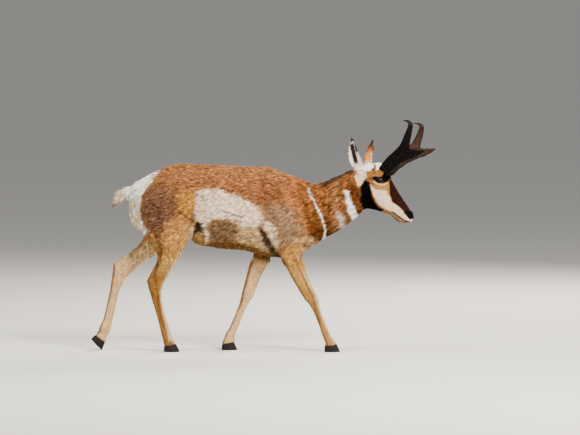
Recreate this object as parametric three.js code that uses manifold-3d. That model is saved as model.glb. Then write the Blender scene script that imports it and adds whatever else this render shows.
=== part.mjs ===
import * as THREE from 'three';
import Module from 'manifold-3d';

// An adult pronghorn buck in mid stride, walking towards +X. Millimetres, Z up,
// its right side towards -Y. The outline runs to the tips of the coat.

// Driving sizes
const SEAM = 0.3; // gap where two neighbouring nodes meet
const FACET_SLACK = 1.6; // how far the flesh may move where nearly flat facets are joined
const EYE_RADIUS = 19;
const EYE_PLACE = [93, 55, 824]; // ahead of the poll, off the middle, above the floor
const POLL_X = 487; // where the head turns on the neck
const HEAD_TURN = THREE.MathUtils.degToRad(18); // the face turns to the animal's right
const HOOF_LENGTH = 76;
const CLAW_WIDTH = 27;
const CORONET_FRONT = 40; // height of the hoof wall at the toe
const CORONET_BACK = 30;

// The body from rump to nape. Each row is one section:
// back x, back z, belly x, belly z, half width
const TRUNK = [
  [-631, 787, -631, 619, 50],
  [-612, 814, -602, 590, 84],
  [-569, 835, -554, 571, 106],
  [-506, 871, -497, 556, 120],
  [-439, 900, -425, 554, 121],
  [-377, 905, -353, 540, 119],
  [-305, 900, -290, 516, 121],
  [-233, 897, -223, 490, 129],
  [-161, 893, -156, 486, 137],
  [-89, 889, -84, 480, 139],
  [-26, 888, -17, 463, 136],
  [22, 887, 55, 449, 131],
  [70, 872, 137, 454, 126],
  [118, 853, 204, 482, 118],
  [175, 830, 257, 516, 105],
  [228, 811, 305, 546, 95],
  [271, 801, 348, 569, 83],
  [319, 816, 391, 595, 75],
  [367, 840, 425, 626, 71],
  [410, 865, 463, 658, 69],
  [449, 884, 497, 686, 64],
  [480, 888, 512, 715, 50],
];

// The head straight ahead of the poll, before it turns:
// face x, face z, jaw x, jaw z, half width
const HEAD = [
  [-35, 872, -42, 712, 52],
  [5, 896, -15, 690, 63],
  [45, 904, 20, 684, 68],
  [81, 903, 50, 679, 68],
  [108, 876, 76, 672, 65],
  [124, 834, 101, 665, 57],
  [146, 796, 121, 658, 48],
  [171, 758, 139, 648, 40],
  [198, 721, 154, 632, 34],
  [219, 691, 172, 621, 32],
  [238, 672, 198, 618, 29],
  [243, 654, 222, 622, 20],
];

// Legs, from inside the body down to the coronet:
// front x, front z, rear x, rear z, half width, distance off the middle
const HIND_RIGHT = [
  [-352, 725, -626, 710, 50, 66],
  [-324, 638, -606, 622, 58, 70],
  [-343, 574, -574, 562, 55, 73],
  [-358, 523, -545, 518, 49, 74],
  [-386, 475, -511, 475, 41, 73],
  [-413, 432, -511, 432, 34, 71],
  [-446, 379, -542, 377, 28, 68],
  [-473, 336, -559, 343, 25, 66],
  [-485, 298, -552, 310, 23, 65],
  [-487, 259, -538, 262, 19, 64],
  [-478, 206, -521, 206, 17, 63],
  [-458, 139, -502, 139, 17, 62],
  [-442, 86, -490, 86, 20, 62],
  [-432, 60, -482, 60, 23, 62],
  [-424, 40, -477, 36, 25, 62],
];
const HIND_LEFT = [
  [-370, 700, -618, 690, 50, 66],
  [-410, 590, -592, 600, 54, 70],
  [-473, 504, -578, 542, 48, 72],
  [-521, 454, -605, 506, 41, 72],
  [-569, 425, -634, 481, 35, 71],
  [-612, 394, -665, 458, 30, 69],
  [-641, 370, -696, 436, 27, 67],
  [-662, 350, -721, 422, 25, 66],
  [-677, 326, -727, 384, 23, 65],
  [-691, 298, -732, 341, 20, 64],
  [-703, 254, -740, 288, 17, 63],
  [-713, 202, -754, 230, 16, 62],
  [-727, 149, -770, 158, 17, 61],
  [-734, 110, -787, 113, 20, 60],
  [-742, 86, -794, 96, 22, 60],
  [-754, 62, -806, 76, 23, 60],
];
const FORE_RIGHT = [
  [178, 650, 20, 660, 44, 82],
  [185, 571, 12, 590, 49, 78],
  [197, 499, 36, 528, 46, 79],
  [191, 456, 65, 470, 40, 79],
  [199, 418, 101, 422, 34, 77],
  [214, 370, 127, 370, 29, 74],
  [233, 322, 154, 322, 26, 71],
  [254, 278, 175, 288, 26, 69],
  [265, 245, 197, 252, 25, 67],
  [271, 214, 221, 226, 20, 66],
  [283, 178, 242, 187, 16, 65],
  [300, 132, 265, 130, 16, 63],
  [317, 94, 278, 91, 19, 62],
  [334, 65, 290, 60, 22, 61],
  [346, 43, 303, 33, 24, 60],
];
const FORE_LEFT = [
  [150, 650, 0, 650, 44, 82],
  [105, 560, -40, 570, 48, 78],
  [72, 505, -55, 510, 45, 79],
  [38, 442, -53, 446, 38, 79],
  [12, 398, -72, 403, 33, 77],
  [-12, 355, -84, 355, 29, 74],
  [-26, 319, -96, 312, 26, 71],
  [-38, 286, -104, 278, 26, 69],
  [-50, 257, -111, 245, 25, 67],
  [-70, 230, -121, 211, 20, 66],
  [-89, 192, -134, 178, 16, 65],
  [-103, 158, -149, 144, 16, 64],
  [-118, 120, -163, 110, 18, 63],
  [-130, 89, -178, 86, 21, 62],
  [-139, 58, -189, 58, 23, 61],
  [-139, 38, -187, 34, 24, 60],
];

// Soft underside of the belly in front of the thighs: top x, z, under x, z, half width
const SHEATH = [
  [-345, 575, -345, 530, 16],
  [-322, 575, -325, 508, 27],
  [-290, 575, -290, 497, 33],
  [-262, 570, -258, 495, 30],
  [-238, 560, -232, 502, 20],
];

// Rear surface x, z, under surface x, z, half width
const TAIL = [
  [-600, 800, -600, 744, 20],
  [-636, 794, -632, 749, 25],
  [-665, 784, -655, 732, 28],
  [-689, 776, -677, 713, 28],
  [-707, 757, -694, 706, 22],
  [-718, 732, -706, 703, 13],
];

// Horns ahead of the poll: rear edge x, z, front edge x, z, half width, off the middle
const HORN_BEAM = [
  [84, 887, 130, 844, 17, 42],
  [106, 914, 156, 874, 18, 46],
  [128, 936, 179, 889, 17, 53],
  [152, 954, 200, 916, 16, 64],
  [176, 974, 227, 948, 15.5, 77],
  [201, 996, 249, 978, 15, 90],
  [213, 1016, 253, 1007, 14, 96],
  [224, 1040, 260, 1036, 13, 98],
  [235, 1065, 265, 1065, 12, 97],
  [244, 1087, 268, 1089, 10.5, 94],
  [242, 1100, 261, 1109, 8.5, 91],
  [231, 1106, 243, 1117, 6.5, 88],
  [218, 1109, 222, 1115, 3.5, 82],
];
const HORN_PRONG = [
  [182, 955, 170, 884, 9, 61],
  [206, 970, 196, 903, 10, 71],
  [233, 974, 223, 916, 10.5, 80],
  [255, 976, 250, 928, 10, 85],
  [281, 975, 276, 937, 8.5, 88],
  [307, 974, 304, 952, 6.5, 89],
  [322, 975, 321, 964, 3.5, 90],
];
const LEFT_TIP_DROP = 19; // the left horn stands a little lower than the right one
const TIP_STARTS = 985; // height above which the left horn is lower
const FORK = [257, 1000]; // how far ahead of the poll the prong parts, and a height over it

// Ear sections: way from the skin, half width, depth at the back, depth of the hollow,
// sweep towards the opening
const EAR = [
  [-35, 22, 18, -16, 0],
  [0, 25, 20, -12, 0],
  [22, 27, 21, 0, 0],
  [45, 28.5, 22, 12, 0],
  [75, 28, 19.5, 13, 1],
  [105, 24, 15.5, 10, 2],
  [135, 16, 10.5, 6.5, 4],
  [160, 8, 6, 3, 7],
  [174, 2.5, 3, 1, 9],
];
const EAR_WALL = 4;
const EAR_ROOT = [-5, 54, 868];
const EAR_TIPS = { right: [-22, 148, 1034], left: [-12, 148, 1016] };
const EAR_BOWS = { right: 13, left: 0 }; // how far the middle of the ear bends back
const EAR_LENGTH = 174;
const EAR_PARTS_AT = 24; // way along the ear where it leaves the head

// Muscles that stand out from the flat of the body or sink into it:
// x, z, reach along, reach up, how far out
const BODY_SWELLS = [
  [115, 650, 95, 120, 9], // shoulder
  [60, 540, 60, 50, 8], // upper arm over the elbow
  [-500, 700, 90, 110, 9], // haunch
  [-310, 700, 50, 70, -9], // hollow of the flank
  [10, 760, 45, 60, -5], // hollow behind the shoulder blade
  [-505, 825, 50, 30, 5], // point of the hip
];
const HEAD_SWELLS = [
  [93, 842, 30, 24, 9], // brow over the eye
  [25, 735, 38, 42, 5], // cheek muscle
  [140, 735, 30, 26, -4], // hollow below the eye
  [215, 660, 20, 20, 3], // nostril wing
];

const COLOURS = { coat: 0xb58a5f, horn: 0x2a211c, hoof: 0x1d1917, eye: 0x120d0b };
const FINISH = { coat: 0.95, horn: 0.55, hoof: 0.5, eye: 0.08 };

const wasm = await Module();
wasm.setup();

// Rows between the given ones, on a smooth curve through them
function fillRows(rows, steps) {
  const filled = [];
  for (let i = 0; i < rows.length - 1; i += 1) {
    const before = rows[Math.max(i - 1, 0)];
    const after = rows[Math.min(i + 2, rows.length - 1)];
    for (let step = 0; step < steps; step += 1) {
      const t = step / steps;
      filled.push(rows[i].map((value, k) => {
        const next = rows[i + 1][k];
        const slopeIn = (next - before[k]) / 2;
        const slopeOut = (after[k] - value) / 2;
        const jump = value - next;
        return value + slopeIn * t + (-3 * jump - 2 * slopeIn - slopeOut) * t * t
          + (2 * jump + slopeIn + slopeOut) * t * t * t;
      }));
    }
  }
  filled.push(rows[rows.length - 1]);
  return filled;
}

function solidFrom(points, faces) {
  let volume = 0;
  for (const [a, b, c] of faces) {
    volume += points[a].dot(new THREE.Vector3().crossVectors(points[b], points[c]));
  }
  const order = volume < 0 ? faces.map(([a, b, c]) => [a, c, b]) : faces;
  return new wasm.Manifold(new wasm.Mesh({
    numProp: 3,
    vertProperties: new Float32Array(points.flatMap((p) => [p.x, p.y, p.z])),
    triVerts: new Uint32Array(order.flat()),
  }));
}

// Joins rings of equal count and closes both ends on a point each
function skinRings(rings, firstPoint, lastPoint) {
  const around = rings[0].length;
  const points = rings.flat();
  const faces = [];
  for (let ring = 0; ring < rings.length - 1; ring += 1) {
    for (let k = 0; k < around; k += 1) {
      const a = ring * around + k;
      const b = ring * around + ((k + 1) % around);
      faces.push([a, b, b + around], [a, b + around, a + around]);
    }
  }
  const first = points.push(firstPoint) - 1;
  const last = points.push(lastPoint) - 1;
  const lastRing = (rings.length - 1) * around;
  for (let k = 0; k < around; k += 1) {
    const next = (k + 1) % around;
    faces.push([first, next, k], [last, lastRing + k, lastRing + next]);
  }
  return solidFrom(points, faces);
}

function ringCentre(ring) {
  const centre = new THREE.Vector3();
  ring.forEach((point) => centre.add(point));
  return centre.divideScalar(ring.length);
}

// A tube through sections that reach from an upper (or front) edge to a lower (or rear)
// one. waist is the height of the widest place, power 1 is an oval and less is squarer.
function tube(rows, options) {
  const { around, steps = 1, waist = 0.5, power = 1, side = 0, grow = 0, capStart, capEnd } = options;
  const { swells = [] } = options;
  const rings = fillRows(rows, steps).map(([topX, topZ, lowX, lowZ, halfWidth, offset = 0]) => {
    const top = new THREE.Vector3(topX, 0, topZ);
    const low = new THREE.Vector3(lowX, 0, lowZ);
    const reach = new THREE.Vector3().subVectors(top, low).setLength(grow);
    top.add(reach);
    low.sub(reach);
    const middle = new THREE.Vector3().lerpVectors(low, top, waist);
    return Array.from({ length: around }, (_, k) => {
      const angle = (2 * Math.PI * k) / around;
      const rise = Math.sign(Math.sin(angle)) * Math.abs(Math.sin(angle)) ** power;
      const spread = Math.sign(Math.cos(angle)) * Math.abs(Math.cos(angle)) ** power;
      const end = rise >= 0 ? top : low;
      const point = new THREE.Vector3().lerpVectors(middle, end, Math.abs(rise));
      let out = spread * (halfWidth + grow);
      for (const [x, z, along, up, push] of swells) {
        const far = ((point.x - x) / along) ** 2 + ((point.z - z) / up) ** 2;
        out += Math.sign(spread) * Math.min(1, Math.abs(spread) * 1.6) * push * Math.exp(-far);
      }
      point.y = side * offset + out;
      return point;
    });
  });
  roundEnd(rings, capStart + grow, true);
  roundEnd(rings, capEnd + grow, false);
  const tips = [rings.shift()[0], rings.pop()[0]];
  return skinRings(rings, tips[0], tips[1]);
}

// Adds a domed end of the given length, and a last ring that holds its tip
function roundEnd(rings, length, atStart) {
  const edge = atStart ? rings[0] : rings[rings.length - 1];
  const inner = atStart ? rings[1] : rings[rings.length - 2];
  const centre = ringCentre(edge);
  const away = new THREE.Vector3().subVectors(centre, ringCentre(inner)).normalize();
  for (const degrees of [35, 65]) {
    const turn = THREE.MathUtils.degToRad(degrees);
    const shifted = centre.clone().addScaledVector(away, length * Math.sin(turn));
    const ring = edge.map((point) => point.clone().sub(centre).multiplyScalar(Math.cos(turn)).add(shifted));
    if (atStart) rings.unshift(ring);
    else rings.push(ring);
  }
  const tip = [centre.clone().addScaledVector(away, length)];
  if (atStart) rings.unshift(tip);
  else rings.push(tip);
}

// A block with its middle, three axes and three half lengths
function block(middle, axes, halves) {
  const points = [];
  for (const i of [-1, 1]) {
    for (const j of [-1, 1]) {
      for (const k of [-1, 1]) {
        points.push(middle.clone()
          .addScaledVector(axes[0], i * halves[0])
          .addScaledVector(axes[1], j * halves[1])
          .addScaledVector(axes[2], k * halves[2]));
      }
    }
  }
  const faces = [
    [0, 1, 3], [0, 3, 2], [4, 6, 7], [4, 7, 5], [0, 4, 5], [0, 5, 1],
    [2, 3, 7], [2, 7, 6], [0, 2, 6], [0, 6, 4], [1, 5, 7], [1, 7, 3],
  ];
  return solidFrom(points, faces);
}

const FLOOR = new THREE.Vector3(0, 0, 0);
const UP = new THREE.Vector3(0, 0, 1);
const ACROSS = new THREE.Vector3(0, 1, 0);
const FAR = 2000;

// Everything ahead of a plane that stands upright across the body
function halfSpace(point, normal, shift) {
  const ahead = normal.clone().normalize();
  const third = new THREE.Vector3().crossVectors(ahead, ACROSS).normalize();
  const second = new THREE.Vector3().crossVectors(third, ahead);
  const middle = point.clone().addScaledVector(ahead, FAR + shift);
  return block(middle, [ahead, second, third], [FAR, FAR, FAR]);
}

function partAt(body, point, normal) {
  return [
    body.intersect(halfSpace(point, normal, SEAM / 2)),
    body.intersect(halfSpace(point, normal.clone().negate(), SEAM / 2)),
  ];
}

// The plane through one section of a tube, facing back up the tube
function sectionPlane(row) {
  const [frontX, frontZ, rearX, rearZ] = row;
  const point = new THREE.Vector3((frontX + rearX) / 2, 0, (frontZ + rearZ) / 2);
  const normal = new THREE.Vector3(rearZ - frontZ, 0, frontX - rearX).normalize();
  return [point, normal];
}

// Turns a solid about an upright line through the poll
function turnHead(solid) {
  return placed(solid, headMatrix());
}

function headMatrix() {
  return new THREE.Matrix4().makeTranslation(POLL_X, 0, 0)
    .multiply(new THREE.Matrix4().makeRotationZ(-HEAD_TURN));
}

function placed(solid, matrix) {
  const mesh = solid.getMesh();
  const points = [];
  for (let i = 0; i < mesh.vertProperties.length; i += mesh.numProp) {
    points.push(new THREE.Vector3().fromArray(mesh.vertProperties, i).applyMatrix4(matrix));
  }
  const faces = [];
  for (let i = 0; i < mesh.triVerts.length; i += 3) {
    faces.push([mesh.triVerts[i], mesh.triVerts[i + 1], mesh.triVerts[i + 2]]);
  }
  return solidFrom(points, faces);
}

function horn(side, grow) {
  const lower = ([x1, z1, x2, z2, width, off]) => {
    const share = side > 0 ? LEFT_TIP_DROP / 130 : 0;
    const drop = (z) => z - share * Math.max(0, z - TIP_STARTS);
    return [x1, drop(z1), x2, drop(z2), width, off];
  };
  const shape = { side, grow, power: 0.9, steps: 1 };
  const beam = tube(HORN_BEAM.map(lower), { ...shape, around: 9, capStart: 12, capEnd: 6 });
  const prong = tube(HORN_PRONG, { ...shape, around: 8, capStart: 4, capEnd: 8 });
  return turnHead(beam.add(prong));
}

// The space in front of the fork, where the prong parts from the beam
function forkRegion(side) {
  const middle = new THREE.Vector3(FORK[0] + 100, side * 80, FORK[1] - 75);
  const axes = [new THREE.Vector3(1, 0, 0), ACROSS, UP];
  return (spare) => turnHead(block(middle, axes, [100 + spare, 60, 75 + spare]));
}

function eye(side, radius) {
  const [ahead, off, height] = EYE_PLACE;
  const middle = new THREE.Vector3(ahead, side * off, height);
  const rings = [];
  for (let i = 1; i < 7; i += 1) {
    const tilt = (Math.PI * i) / 7;
    rings.push(Array.from({ length: 12 }, (_, k) => {
      const turn = (2 * Math.PI * k) / 12;
      return new THREE.Vector3(Math.cos(turn) * Math.sin(tilt), Math.cos(tilt), Math.sin(turn) * Math.sin(tilt))
        .multiplyScalar(radius).add(middle);
    }));
  }
  const pole = new THREE.Vector3(0, radius, 0);
  return turnHead(skinRings(rings, middle.clone().add(pole), middle.clone().sub(pole)));
}

// Root, axis, opening and width direction of an ear
function earFrame(side) {
  const mirror = new THREE.Vector3(1, side, 1);
  const root = new THREE.Vector3(...EAR_ROOT).multiply(mirror);
  const tip = new THREE.Vector3(...EAR_TIPS[side < 0 ? 'right' : 'left']).multiply(mirror);
  const axis = tip.clone().sub(root).normalize();
  const stretch = (tip.distanceTo(root) - 5) / EAR_LENGTH;
  const open = new THREE.Vector3(0.5, side * 0.8, -0.3);
  open.addScaledVector(axis, -open.dot(axis)).normalize();
  const across = new THREE.Vector3().crossVectors(axis, open);
  return { root, axis, open, across, stretch };
}

function ear(side) {
  const { root, axis, open, across, stretch } = earFrame(side);
  const bow = side * EAR_BOWS[side < 0 ? 'right' : 'left'];
  const arc = 6;
  const rings = EAR.map(([way, halfWidth, depth, hollow, sweep]) => {
    const centre = root.clone()
      .addScaledVector(axis, way * stretch)
      .addScaledVector(open, sweep)
      .addScaledVector(across, bow * Math.sin((Math.PI * Math.max(way, 0)) / EAR_LENGTH));
    const at = (step, wide, deep) => {
      const angle = Math.PI * (step / (arc - 1) - 0.5);
      return centre.clone()
        .addScaledVector(across, Math.sin(angle) * wide)
        .addScaledVector(open, -Math.cos(angle) * deep);
    };
    const inner = halfWidth - Math.min(EAR_WALL, halfWidth * 0.5);
    const ring = [];
    for (let k = 0; k < arc; k += 1) ring.push(at(k, halfWidth, depth));
    for (let k = arc - 2; k > 0; k -= 1) ring.push(at(k, inner, hollow));
    return ring;
  });
  const first = ringCentre(rings[0]).addScaledVector(axis, -1);
  const last = ringCentre(rings[rings.length - 1]).addScaledVector(axis, 5);
  return turnHead(skinRings(rings, first, last));
}

// The space above a plane just over the skin of the head, around one ear
function earRegion(side) {
  const { root, axis, open, across } = earFrame(side);
  const middle = root.clone().addScaledVector(axis, EAR_PARTS_AT + 90);
  return (spare) => turnHead(block(middle, [axis, open, across], [90 + spare, 50, 60]));
}

// One half of a cloven hoof, heel at the origin and toe along +X, walls up to the skin
function claw(inward) {
  const levels = [
    [0, 0, HOOF_LENGTH, 1],
    [16, -2, HOOF_LENGTH - 7, 1.03],
    [44, 5, HOOF_LENGTH - 21, 0.92],
    [58, 14, HOOF_LENGTH - 30, 0.72],
  ];
  const rings = levels.map(([height, heel, toe, fullness]) => Array.from({ length: 12 }, (_, k) => {
    const angle = (2 * Math.PI * k) / 12;
    const ahead = (1 + Math.cos(angle)) / 2;
    const outer = Math.sin(angle) * inward < 0;
    const swing = Math.sin(angle) * (1 - 0.45 * ahead ** 3) * (outer ? 1 : 0.62);
    const toeTurn = 3 * ahead ** 2 * inward;
    return new THREE.Vector3(heel + (toe - heel) * ahead, fullness * (swing * CLAW_WIDTH * 0.62) + toeTurn, height);
  }));
  const top = ringCentre(rings[rings.length - 1]);
  return skinRings(rings, ringCentre(rings[0]).setZ(0), top);
}

// Places the two claws of a foot: toe tip, pitch of the foot and its distance off the middle
function foot(toeX, pitchDegrees, side, off, lift) {
  const turn = new THREE.Matrix4().makeTranslation(toeX, side * off, lift)
    .multiply(new THREE.Matrix4().makeRotationY(THREE.MathUtils.degToRad(pitchDegrees)))
    .multiply(new THREE.Matrix4().makeTranslation(-HOOF_LENGTH, 0, 0));
  const claws = [-1, 1].map((way) => placed(
    claw(-way),
    turn.clone().multiply(new THREE.Matrix4().makeTranslation(0, way * CLAW_WIDTH * 0.5, 0)),
  ));
  const front = new THREE.Vector3(HOOF_LENGTH - 20, 0, CORONET_FRONT).applyMatrix4(turn);
  const back = new THREE.Vector3(4, 0, CORONET_BACK).applyMatrix4(turn);
  const normal = new THREE.Vector3(back.z - front.z, 0, front.x - back.x).normalize();
  front.y = 0;
  return { claws, plane: [front, normal] };
}

const LEGS = {
  hind_right: {
    rows: HIND_RIGHT,
    side: -1,
    foot: foot(-401, 0, -1, 62, 0),
    cuts: [['thigh', 5], ['gaskin', 9], ['cannon', 12]],
    top: [[-980, 723], [-124, 405]],
  },
  hind_left: {
    rows: HIND_LEFT,
    side: 1,
    foot: foot(-779, 47, 1, 60, -3),
    cuts: [['thigh', 5], ['gaskin', 10], ['cannon', 13]],
    top: [[-980, 760], [-340, 434]],
  },
  fore_right: {
    rows: FORE_RIGHT,
    side: -1,
    foot: foot(369, 0, -1, 60, 0),
    cuts: [['forearm', 9], ['cannon', 12]],
    top: [[-60, 441], [460, 441]],
  },
  fore_left: {
    rows: FORE_LEFT,
    side: 1,
    foot: foot(-125, 0, 1, 60, 0),
    cuts: [['forearm', 9], ['cannon', 13]],
    top: [[-260, 441], [260, 441]],
  },
};

const LEG_REACH = 400; // half the depth of the space a leg is taken from

// Under the line where a leg leaves the body, on its own side of the middle
function legRegion({ top, side }, spare) {
  const [[x1, z1], [x2, z2]] = top;
  const along = new THREE.Vector3(x2 - x1, 0, z2 - z1);
  const half = along.length() / 2;
  along.normalize();
  const down = new THREE.Vector3(along.z, 0, -along.x);
  const middle = new THREE.Vector3((x1 + x2) / 2, side * 150, (z1 + z2) / 2)
    .addScaledVector(down, LEG_REACH);
  return block(middle, [along, ACROSS, down], [half + spare, 150, LEG_REACH + spare]);
}

function buildBody() {
  const nodes = {};
  let flesh = tube(TRUNK, {
    around: 24, steps: 2, waist: 0.5, power: 0.95, capStart: 14, capEnd: 20, swells: BODY_SWELLS,
  });
  flesh = flesh.add(turnHead(tube(HEAD, {
    around: 18, steps: 2, waist: 0.55, power: 0.9, capStart: 20, capEnd: 9, swells: HEAD_SWELLS,
  })));
  flesh = flesh.add(tube(SHEATH, { around: 10, capStart: 8, capEnd: 8 }));
  flesh = flesh.add(tube(TAIL, { around: 10, capStart: 10, capEnd: 8 }));
  for (const side of [-1, 1]) flesh = flesh.add(ear(side));
  const floor = halfSpace(FLOOR, UP, 0);
  for (const leg of Object.values(LEGS)) {
    flesh = flesh.add(tube(leg.rows, {
      around: 10, power: 0.95, side: leg.side, capStart: 20, capEnd: 2,
    }));
    leg.foot.claws.forEach((one) => {
      flesh = flesh.add(one);
    });
  }
  flesh = flesh.intersect(floor).simplify(FACET_SLACK);

  for (const [name, leg] of Object.entries(LEGS)) {
    let rest = flesh.intersect(legRegion(leg, -SEAM / 2));
    flesh = flesh.subtract(legRegion(leg, SEAM / 2));
    for (const [piece, index] of leg.cuts) {
      const [kept, below] = partAt(rest, ...sectionPlane(leg.rows[index]));
      nodes[`leg_${name}_${piece}`] = ['coat', kept];
      rest = below;
    }
    const [point, normal] = leg.foot.plane;
    nodes[`leg_${name}_pastern`] = ['coat', partAt(rest, point, normal)[0]];
    leg.foot.claws.forEach((one, i) => {
      const place = (i === 0) === (leg.side < 0) ? 'outer' : 'inner';
      const wall = partAt(one, point, normal)[1].intersect(floor);
      nodes[`hoof_${name}_${place}`] = ['hoof', wall];
    });
  }

  for (const [name, side] of [['right', -1], ['left', 1]]) {
    const region = earRegion(side);
    nodes[`ear_${name}`] = ['coat', flesh.intersect(region(-SEAM / 2))];
    flesh = flesh.subtract(region(SEAM / 2));
    const fork = forkRegion(side);
    nodes[`horn_${name}_beam`] = ['horn', horn(side, 0).subtract(fork(SEAM / 2))];
    nodes[`horn_${name}_prong`] = ['horn', horn(side, 0).intersect(fork(-SEAM / 2))];
    flesh = flesh.subtract(horn(side, SEAM));
    nodes[`eye_${name}`] = ['eye', eye(side, EYE_RADIUS)];
    flesh = flesh.subtract(eye(side, EYE_RADIUS + SEAM));
  }

  const tailCut = [new THREE.Vector3(-640, 0, 770), new THREE.Vector3(-1, 0, 0.28)];
  [nodes.tail, flesh] = partAt(flesh, ...tailCut);
  nodes.tail = ['coat', nodes.tail];
  return [nodes, flesh];
}

// Parts the remaining flesh from the rump to the muzzle
function partTrunk(nodes, flesh) {
  const forward = new THREE.Vector3(1, 0, 0);
  const cuts = [
    ['trunk_rump', new THREE.Vector3(-352, 0, 0), forward],
    ['trunk_barrel', new THREE.Vector3(-45, 0, 0), forward],
    ['trunk_shoulders', ...bodySection(14)],
    ['neck_lower', ...bodySection(17)],
    ['neck_upper', new THREE.Vector3(465, 0, 785), new THREE.Vector3(198, 0, 50)],
  ];
  let rest = flesh;
  for (const [name, point, normal] of cuts) {
    const [ahead, behind] = partAt(rest, point, normal);
    nodes[name] = ['coat', behind];
    rest = ahead;
  }
  const turned = (x, z) => new THREE.Vector3(x, 0, z).applyMatrix4(headMatrix());
  const straight = (x, y, z) => new THREE.Vector3(x, y, z).applyAxisAngle(UP, -HEAD_TURN);
  const [muzzle, skull] = partAt(rest, turned(146, 700), straight(0.82, 0, -0.57));
  nodes.head_skull = ['coat', skull];
  const [upper, lower] = partAt(muzzle, turned(180, 640), straight(0.55, 0, 0.83));
  nodes.head_muzzle = ['coat', upper];
  nodes.head_chin = ['coat', lower];
}

function bodySection(index) {
  const [point, normal] = sectionPlane(TRUNK[index]);
  return [point, normal.x < 0 ? normal.negate() : normal];
}

function meshOf(name, slot, solid) {
  const data = solid.getMesh();
  const geometry = new THREE.BufferGeometry();
  const points = new Float32Array((data.vertProperties.length / data.numProp) * 3);
  for (let i = 0; i < points.length / 3; i += 1) {
    points.set(data.vertProperties.subarray(i * data.numProp, i * data.numProp + 3), i * 3);
  }
  geometry.setAttribute('position', new THREE.BufferAttribute(points, 3));
  geometry.setIndex(new THREE.BufferAttribute(new Uint32Array(data.triVerts), 1));
  geometry.computeVertexNormals();
  const material = new THREE.MeshStandardMaterial({ color: COLOURS[slot], roughness: FINISH[slot] });
  material.name = slot;
  const mesh = new THREE.Mesh(geometry, material);
  mesh.name = name;
  return mesh;
}

const [nodes, flesh] = buildBody();
partTrunk(nodes, flesh);

const animal = new THREE.Group();
animal.name = 'pronghorn';
for (const [name, [slot, solid]] of Object.entries(nodes)) {
  animal.add(meshOf(name, slot, solid));
}

// The middle of the outer box stands over the origin
const box = new THREE.Box3().setFromObject(animal);
const shift = box.getCenter(new THREE.Vector3()).setZ(box.min.z).negate();
animal.children.forEach((mesh) => mesh.geometry.translate(shift.x, shift.y, shift.z));

export default animal;
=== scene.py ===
import itertools
import math

import bmesh
import bpy
import numpy as np
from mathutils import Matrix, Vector
from mathutils.bvhtree import BVHTree
from mathutils.kdtree import KDTree


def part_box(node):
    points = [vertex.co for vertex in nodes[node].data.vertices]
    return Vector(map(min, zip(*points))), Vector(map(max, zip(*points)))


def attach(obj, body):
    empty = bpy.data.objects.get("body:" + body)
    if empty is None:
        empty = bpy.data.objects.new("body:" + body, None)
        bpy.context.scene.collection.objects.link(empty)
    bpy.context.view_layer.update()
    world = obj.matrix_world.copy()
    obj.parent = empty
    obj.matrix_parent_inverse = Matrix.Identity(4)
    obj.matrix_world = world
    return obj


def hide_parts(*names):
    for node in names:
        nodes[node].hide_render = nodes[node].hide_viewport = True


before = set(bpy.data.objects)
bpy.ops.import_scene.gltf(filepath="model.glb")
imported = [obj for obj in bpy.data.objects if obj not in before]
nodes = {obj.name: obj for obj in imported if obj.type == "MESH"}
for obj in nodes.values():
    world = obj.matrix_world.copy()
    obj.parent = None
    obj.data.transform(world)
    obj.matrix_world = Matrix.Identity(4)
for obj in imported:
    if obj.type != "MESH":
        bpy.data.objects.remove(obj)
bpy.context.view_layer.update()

# Sizes, in metres unless a name says otherwise.
PHOTO_PIXEL = 0.0048
PHOTO_WIDTH_PIXELS = 580
PHOTO_CENTRE = (0.1288, 0.6408)
LOOK_DOWN = math.radians(3)
CAMERA_LENS_MM = 300
CAMERA_SENSOR_MM = 36
HEAD_TURN = math.radians(18)
EYE_FROM_POLL = 0.093
HORN_ROOT = (0.098, 0.034, 0.858)
HORN_ROOT_RADIUS = 0.026
# Each kind of skin: its solids' swell, its cells' size, its faces and its rounds of smoothing.
SKIN_SWELL, SKIN_CELL, SKIN_FACES, SKIN_ROUNDS = 0.0005, 0.003, 120000, 110
HORN_SWELL, HORN_CELL, HORN_FACES, HORN_ROUNDS = 0.0004, 0.0016, 60000, 14
HOOF_SWELL, HOOF_CELL, HOOF_FACES, HOOF_ROUNDS = 0.0002, 0.0012, 9000, 10
EDGE_ROUNDS, BORDER_ROUNDS, FACE_ROUNDS = 8, 40, 2
SHOULDERS_END, BARREL_END = -0.044, -0.35
BARE_ROUND_EYE = 0.0045
LOCKS_IN_PIECE = 19500
SIDES = {"right": -1, "left": 1}
MM = 0.001

# Each region's coat: depth over the skin, lock length, lock width, locks to a square metre.
COAT = {
    "head": (0.0016, 0.010, 0.0017, 200000),
    "ear": (0.0006, 0.012, 0.0017, 150000),
    "neck": (0.0060, 0.021, 0.0030, 80000),
    "trunk": (0.0085, 0.023, 0.0032, 66000),
    "tail": (0.0060, 0.034, 0.0034, 90000),
    "thigh": (0.0050, 0.022, 0.0032, 75000),
    "shank": (0.0020, 0.014, 0.0024, 90000),
    "foot": (0.0012, 0.010, 0.0019, 100000),
}
REGIONS = list(COAT)
# How far apart the middles of a region's tufts are.
TUFT_SPACING = {
    "head": 0.0045, "ear": 0.005, "neck": 0.0075, "trunk": 0.0075,
    "tail": 0.009, "thigh": 0.009, "shank": 0.006, "foot": 0.005,
}
WORLD_LIGHT = 0.62
# The sky's two stops: how high, and its colour.
SKY = ((0.12, (0.50, 0.49, 0.475, 1)), (0.45, (0.72, 0.72, 0.72, 1)))
LIGHTS_AIM = Vector((0, 0, 0.6))
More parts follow.
